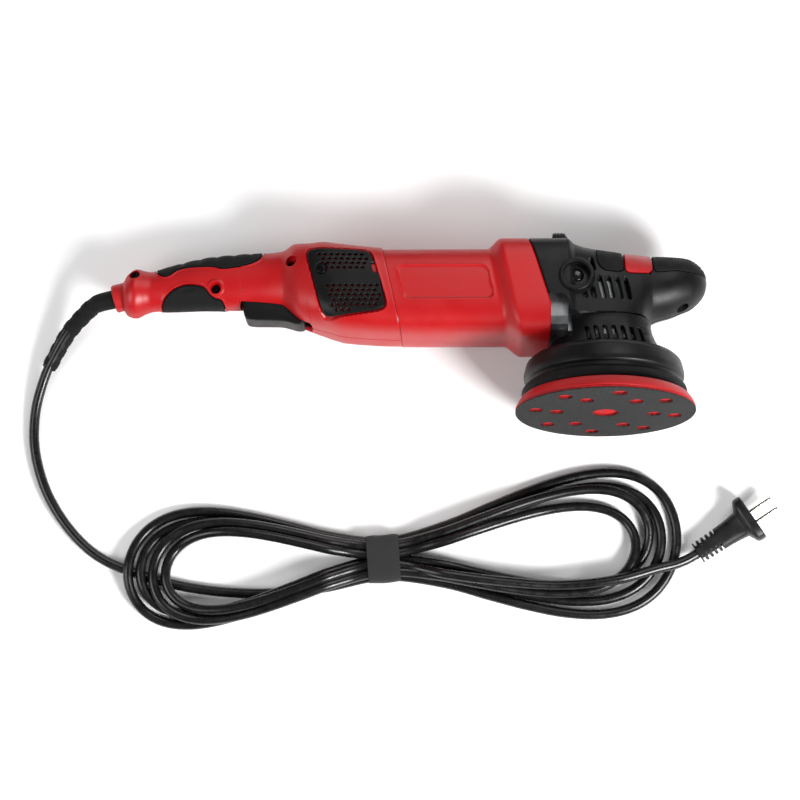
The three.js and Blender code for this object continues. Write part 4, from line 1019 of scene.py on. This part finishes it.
def hook_tape():
    """Woven nylon hook tape: rows of tiny stiff hooks, drawn 1.6 mm apart so that they show, bumped and with
    their tips painted a lighter grey on dead black as painted highlights. Inside the dust holes, which the
    hole attribute marks, the plate's red shows."""
    material, out = new_material("woven_nylon_hook_tape")
    where = add_node(material, "ShaderNodeTexCoord").outputs["Object"]
    turned = add_node(material, "ShaderNodeMapping", {"vector_type": "TEXTURE"}, Vector=where,
                      Rotation=(ROLL, 0.0, math.radians(8)))
    hooks = add_node(material, "ShaderNodeTexVoronoi", {"feature": "F1"}, Vector=turned.outputs[0],
                     Scale=1000 / 1.6, Randomness=0.35)
    # The hook tips are bumped and painted a lighter grey than the black between them: painted highlights,
    # points of light.
    tips_and_painted_glints = add_node(material, "ShaderNodeMapRange", Value=hooks.outputs["Distance"], From_Min=0.12,
                    From_Max=0.5, To_Min=1.0, To_Max=0.0).outputs[0]
    weave_and_painted_glints = add_node(material, "ShaderNodeMix", {"data_type": "RGBA"}, _0=tips_and_painted_glints, _6=linear("050606"),
                     _7=linear("1D201E"))
    hole = add_node(material, "ShaderNodeAttribute", {"attribute_name": "hole"})
    tone = add_node(material, "ShaderNodeMix", {"data_type": "RGBA"}, _0=hole.outputs["Fac"],
                    _6=weave_and_painted_glints.outputs[2], _7=linear("B40D14"))
    return ribbed_surface(material, out, tone.outputs[2], tips_and_painted_glints, 0.9, 0.0005, Roughness=0.8, IOR=1.53,
                          Sheen_Weight=0.04, Specular_IOR_Level=0.2)


plate_rim = [(PAD_RADIUS - 0.1, -84.3), (PAD_RADIUS - 0.5, -83.2), (60.6, -80.5), (58.8, -78.0),
             (57.6, -77.0), (56.6, -76.6)]
plate_back = [(48, -76.6), (22, -76.6), (21, -76.2), (20.2, -73), (19.6, -72.6), (5.2, -72.6), (5.2, -80.0),
              (0, -80.0)]
plate_face = pierced_face(PAD_RADIUS - 0.3, PLATE_FACE, HOLE_FLOOR + 0.3, 0.35, 105, 420)
plate = mesh_of("red_backing_plate", [round_pad(plate_face, plate_back, plate_rim)])
fit(plate, pad_red, "red_abs", "backing_plate", body="pad")
disc_rim = [(PAD_RADIUS, -86.7), (PAD_RADIUS, -85.4), (PAD_RADIUS - 0.3, -85.1)]
disc_face = pierced_face(PAD_RADIUS - 0.25, PAD_FACE, HOLE_FLOOR, 0, 125, 460)
disc = mesh_of("black_hook_disc", [round_pad(disc_face, [(0, -85.1)], disc_rim)])
places = np.empty(len(disc.data.vertices) * 3)
disc.data.vertices.foreach_get("co", places)
up_of_tool = laid(np.array([0.0, 1000, 0])) - laid(np.zeros(3))
along_spindle = (places.reshape(-1, 3) * 1000 - REST) @ up_of_tool
hole_mark = disc.data.attributes.new("hole", "FLOAT", "POINT")
hole_mark.data.foreach_set("value", eased(along_spindle + 86.2, 0.5))
fit(disc, hook_tape(), "hook_fabric", "hook_disc", body="pad")

# ---- The cord's sleeve, tie and plug ----
# A tapered rubber sleeve keeps the cord from kinking at the handle, a hook-and-loop band holds the hank, and
# the plug is moulded on in black PVC with a wide flange, a ribbed tail and two flat blades of nickel-plated
# brass.
SLEEVE = [(-224, 22.6, 24.6), (-235.2, 14, 18.4), (-245.3, 3.5, 13.2), (-253.3, -8.9, 9.7),
          (-260.4, -21.8, 7.4)]
inside_collar = laid(np.array([(-337, 3.5, 0), (-348.6, 0.4, 0)])) * 1000
sleeve_line = smooth_line(np.concatenate([inside_collar, SLEEVE]), 0.5) / 1000
place = np.linspace(0, 1, len(sleeve_line))
grooves = eased(np.cos(place * 2 * math.pi * 9) - 0.2, 0.5) * eased(place - 0.3, 0.1)
sleeve_radius = (6.9 - 1.4 * place - 0.45 * grooves) / 1000
sleeve = mesh_of("tapered_cord_sleeve", [tube_part(tube_grid(sleeve_line, sleeve_radius, 40))])
fit(sleeve, grip_rubber, "grip_rubber", "strain_relief")

BAND_HALF, BAND_WIDE, BAND_TOP, BAND_SQUARE = 11.6, 17.4, 17.0, 3.4
turn = np.linspace(0, 2 * math.pi, 120, endpoint=False)
across = np.linspace(-1, 1, 48)[:, None]
slope = math.atan(HANK_SLOPE)
band_walls = []
for shrink in (0.0, 1.4):
    wide, high = BAND_WIDE - shrink, BAND_TOP / 2 - 0.05 - shrink
    reach = (np.abs(np.cos(turn) / wide) ** BAND_SQUARE + np.abs(np.sin(turn) / high) ** BAND_SQUARE)
    reach = reach ** (-1 / BAND_SQUARE) * (1 - 0.012 * np.cos(3 * turn + 4 * across) - 0.03 * across ** 4)
    sideways, length = reach * np.cos(turn), across * BAND_HALF + 0 * turn
    band_walls.append(np.stack([TIE[0] + math.cos(slope) * length - math.sin(slope) * sideways,
                                TIE[1] + math.sin(slope) * length + math.cos(slope) * sideways,
                                reach * np.sin(turn) + BAND_TOP / 2 + 0.05], -1) / 1000)


def loop_tape():
    """Brushed nylon loop tape: a dead matt, very dark grey nap with a faint woven rib across it."""
    material, out = new_material("brushed_nylon_loop_tape")
    where = add_node(material, "ShaderNodeTexCoord").outputs["Object"]
    rib = add_node(material, "ShaderNodeTexWave", {"bands_direction": "Y"}, Vector=where, Scale=240.0,
                   Distortion=3.0, Detail=2.0)
    nap = add_node(material, "ShaderNodeTexNoise", Vector=where, Scale=1400.0, Detail=3.0)
    both = add_node(material, "ShaderNodeMix", _0=0.6, _2=rib.outputs["Fac"],
                    _3=nap.outputs["Fac"]).outputs[0]
    tone = add_node(material, "ShaderNodeMix", {"data_type": "RGBA"}, _0=both, _6=linear("0B0B0C"),
                    _7=linear("232325"))
    return ribbed_surface(material, out, tone.outputs[2], both, 0.8, 0.0003, Roughness=0.95, IOR=1.5,
                          Sheen_Weight=0.2)


tie = mesh_of("hook_and_loop_cord_tie", [shell_part(*band_walls, wrap=True)])
fit(tie, loop_tape(), "tie_fabric", "cord_tie")

PLUG_AT = np.array([209.2, -155.8, 7.7])
PLUG_TURN = [math.radians(a) for a in (82, -6.8, 34)]
PLUG = np.array([
    (0, 0, 6.2, 8, 3, 0), (19, 0, 7.4, 8.4, 3, 0), (37, 0, 8.6, 10, 3.2, 0), (38.5, 0, 9.6, 12, 3.4, 0),
    (41, 0, 11.4, 16.6, 3.6, 0), (42.6, 0, 12, 17.4, 3.6, 0), (46.4, 0, 12, 17.6, 3.6, 0),
    (47.4, 0, 11.4, 17, 3.6, 0)])
RIB_PITCH = 3.9
BLADE_STEP = 4.2
BLADE = [(47.3, -3.1), (64.6, -3.1), (65.9, -1.6), (65.9, 1.6), (64.6, 3.1), (47.3, 3.1)]


def plugged(points):
    """Points of the plug's own frame, +X out along its blades, rolled, lifted and headed as it lies."""
    roll, lift, heading = PLUG_TURN
    x, y, z = np.moveaxis(points, -1, 0)
    y, z = math.cos(roll) * y - math.sin(roll) * z, math.sin(roll) * y + math.cos(roll) * z
    x, z = math.cos(lift) * x + math.sin(lift) * z, -math.sin(lift) * x + math.cos(lift) * z
    x, y = math.cos(heading) * x - math.sin(heading) * y, math.sin(heading) * x + math.cos(heading) * y
    return (np.stack([x, y, z], axis=-1) + PLUG_AT) / 1000


along = np.concatenate([np.linspace(0, 19, 90), np.linspace(19.2, PLUG[-1, 0], 70)])[:, None]
around = np.linspace(0, 2 * math.pi, 96, endpoint=False)[None]
plug_grid = on_casing(PLUG, along + 0 * around, around + 0 * along)
ribs = eased(-np.cos(2 * math.pi * along / RIB_PITCH - 0.3) - 0.15, 0.35)
ribs *= eased(18 - along, 0.8) * eased(along - 1, 0.6)
plug_grid[..., 1:] *= (1 - 0.36 * ribs * eased(np.abs(np.cos(around)) - 0.55, 0.3))[..., None]
ends = [np.broadcast_to([x, 0.0, 0.0], (1, 96, 3)) for x in (0.0, PLUG[-1, 0])]
moulded_pvc = surface("moulded_pvc", "080809", "131314", 8, (0.34, 0.5), 0.9, 0.03, IOR=1.53,
                      Specular_IOR_Level=0.35)
plug = mesh_of("moulded_mains_plug", [tube_part(plugged(np.concatenate([ends[0], plug_grid, ends[1]])))])
fit(plug, moulded_pvc, "cord_sheath", "plug_body")
# Nickel plate over brass: warm silver, smooth, with fine drawn lines along the blade.
nickel = surface("nickel_plated_brass", "9B968C", "BDB8AE", 2.5, (0.18, 0.3), 0.5, 0.008, Metallic=1.0)
for name, side in (("a", 1), ("b", -1)):
    blade_grid = block(rounded(BLADE, 0.8), 0.75, 0.4, 5, side * BLADE_STEP)
    blade = mesh_of("plug_blade_" + name, [tube_part(plugged(blade_grid))])
    fit(blade, nickel, "steel", "plug_pin_" + name)

# ---- The working parts inside ----
# The gearbox and the drive are seen through the slots and at the bare flank: die-cast aluminium, turned
# steel, stacked laminations, enamelled copper wire, carbon brushes and the control board keep their own
# shapes.
cast_aluminium = surface("die_cast_aluminium", "8E9092", "A8AAAD", 3.5, (0.38, 0.55), 1.3, 0.12, Metallic=1.0)
turned_steel = surface("turned_and_ground_steel", "85878A", "9C9EA1", 2.2, (0.22, 0.36), 0.4, 0.01,
                       Metallic=1.0)
# Case-hardened steel keeps a dark blue-grey bloom.
hardened_steel = surface("case_hardened_steel", "5F6266", "7C7F83", 3.0, (0.3, 0.45), 0.6, 0.02, Metallic=1.0)
# Enamelled winding wire: copper under a glossy amber film.
winding_wire = surface("enamelled_copper_wire", "8A4A1E", "B3662E", 1.4, (0.2, 0.35), 0.8, 0.15, Metallic=1.0)
# Bare commutator copper, polished by the brushes.
bare_copper = surface("turned_copper", "A86A45", "C07E55", 2.0, (0.2, 0.34), 0.5, 0.02, Metallic=1.0)
# Pressed carbon: a sooty black with a grey gleam where it rubs.
pressed_carbon = surface("pressed_carbon", "1B1B1C", "2E2E30", 1.2, (0.45, 0.7), 0.5, 0.03, IOR=1.8)
# Solder-masked glass epoxy.
board_laminate = surface("solder_masked_board", "164A2C", "20633C", 3.0, (0.3, 0.45), 0.7, 0.03, IOR=1.55)


def core_plates():
    """Electrical steel plates half a millimetre thick, stacked along the shaft: drawn some millimetres apart
    so that the stack can be seen, dull grey with varnish between the edges."""
    material, out = new_material("stacked_core_plates")
    where = add_node(material, "ShaderNodeTexCoord").outputs["Object"]
    stack = add_node(material, "ShaderNodeTexWave", {"bands_direction": "X"}, Vector=where,
                     Scale=160.0).outputs["Fac"]
    tone = add_node(material, "ShaderNodeMix", {"data_type": "RGBA"}, _0=stack, _6=linear("3F4144"),
                    _7=linear("6A6C70"))
    return ribbed_surface(material, out, tone.outputs[2], stack, 0.6, 0.0002, Roughness=0.45,
                          Metallic=0.9)


stacked_plates = core_plates()
for material, nodes in (
        (cast_aluminium, ("gearbox_housing",)),
        (turned_steel, ("armature_shaft", "armature_bearing_rear", "armature_bearing_front", "spindle_shaft",
                        "spindle_bearing_upper", "spindle_bearing_lower", "orbit_bearing", "pad_spindle",
                         "cord_clamp")),
        (hardened_steel, ("bevel_gear", "bevel_pinion", "counterweight", "pad_bolt")),
        (stacked_plates, ("stator_core", "armature_core")),
        (winding_wire, ("field_winding",)),
        (bare_copper, ("commutator",)),
        (pressed_carbon, ("carbon_brush_upper", "carbon_brush_lower")),
        (board_laminate, ("speed_control_board",)),
        (black_nylon, ("switch_module", "speed_dial", "cooling_fan"))):
    for node in nodes:
        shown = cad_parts[node]
        shown.data.materials.clear()
        shown.data.materials.append(material)
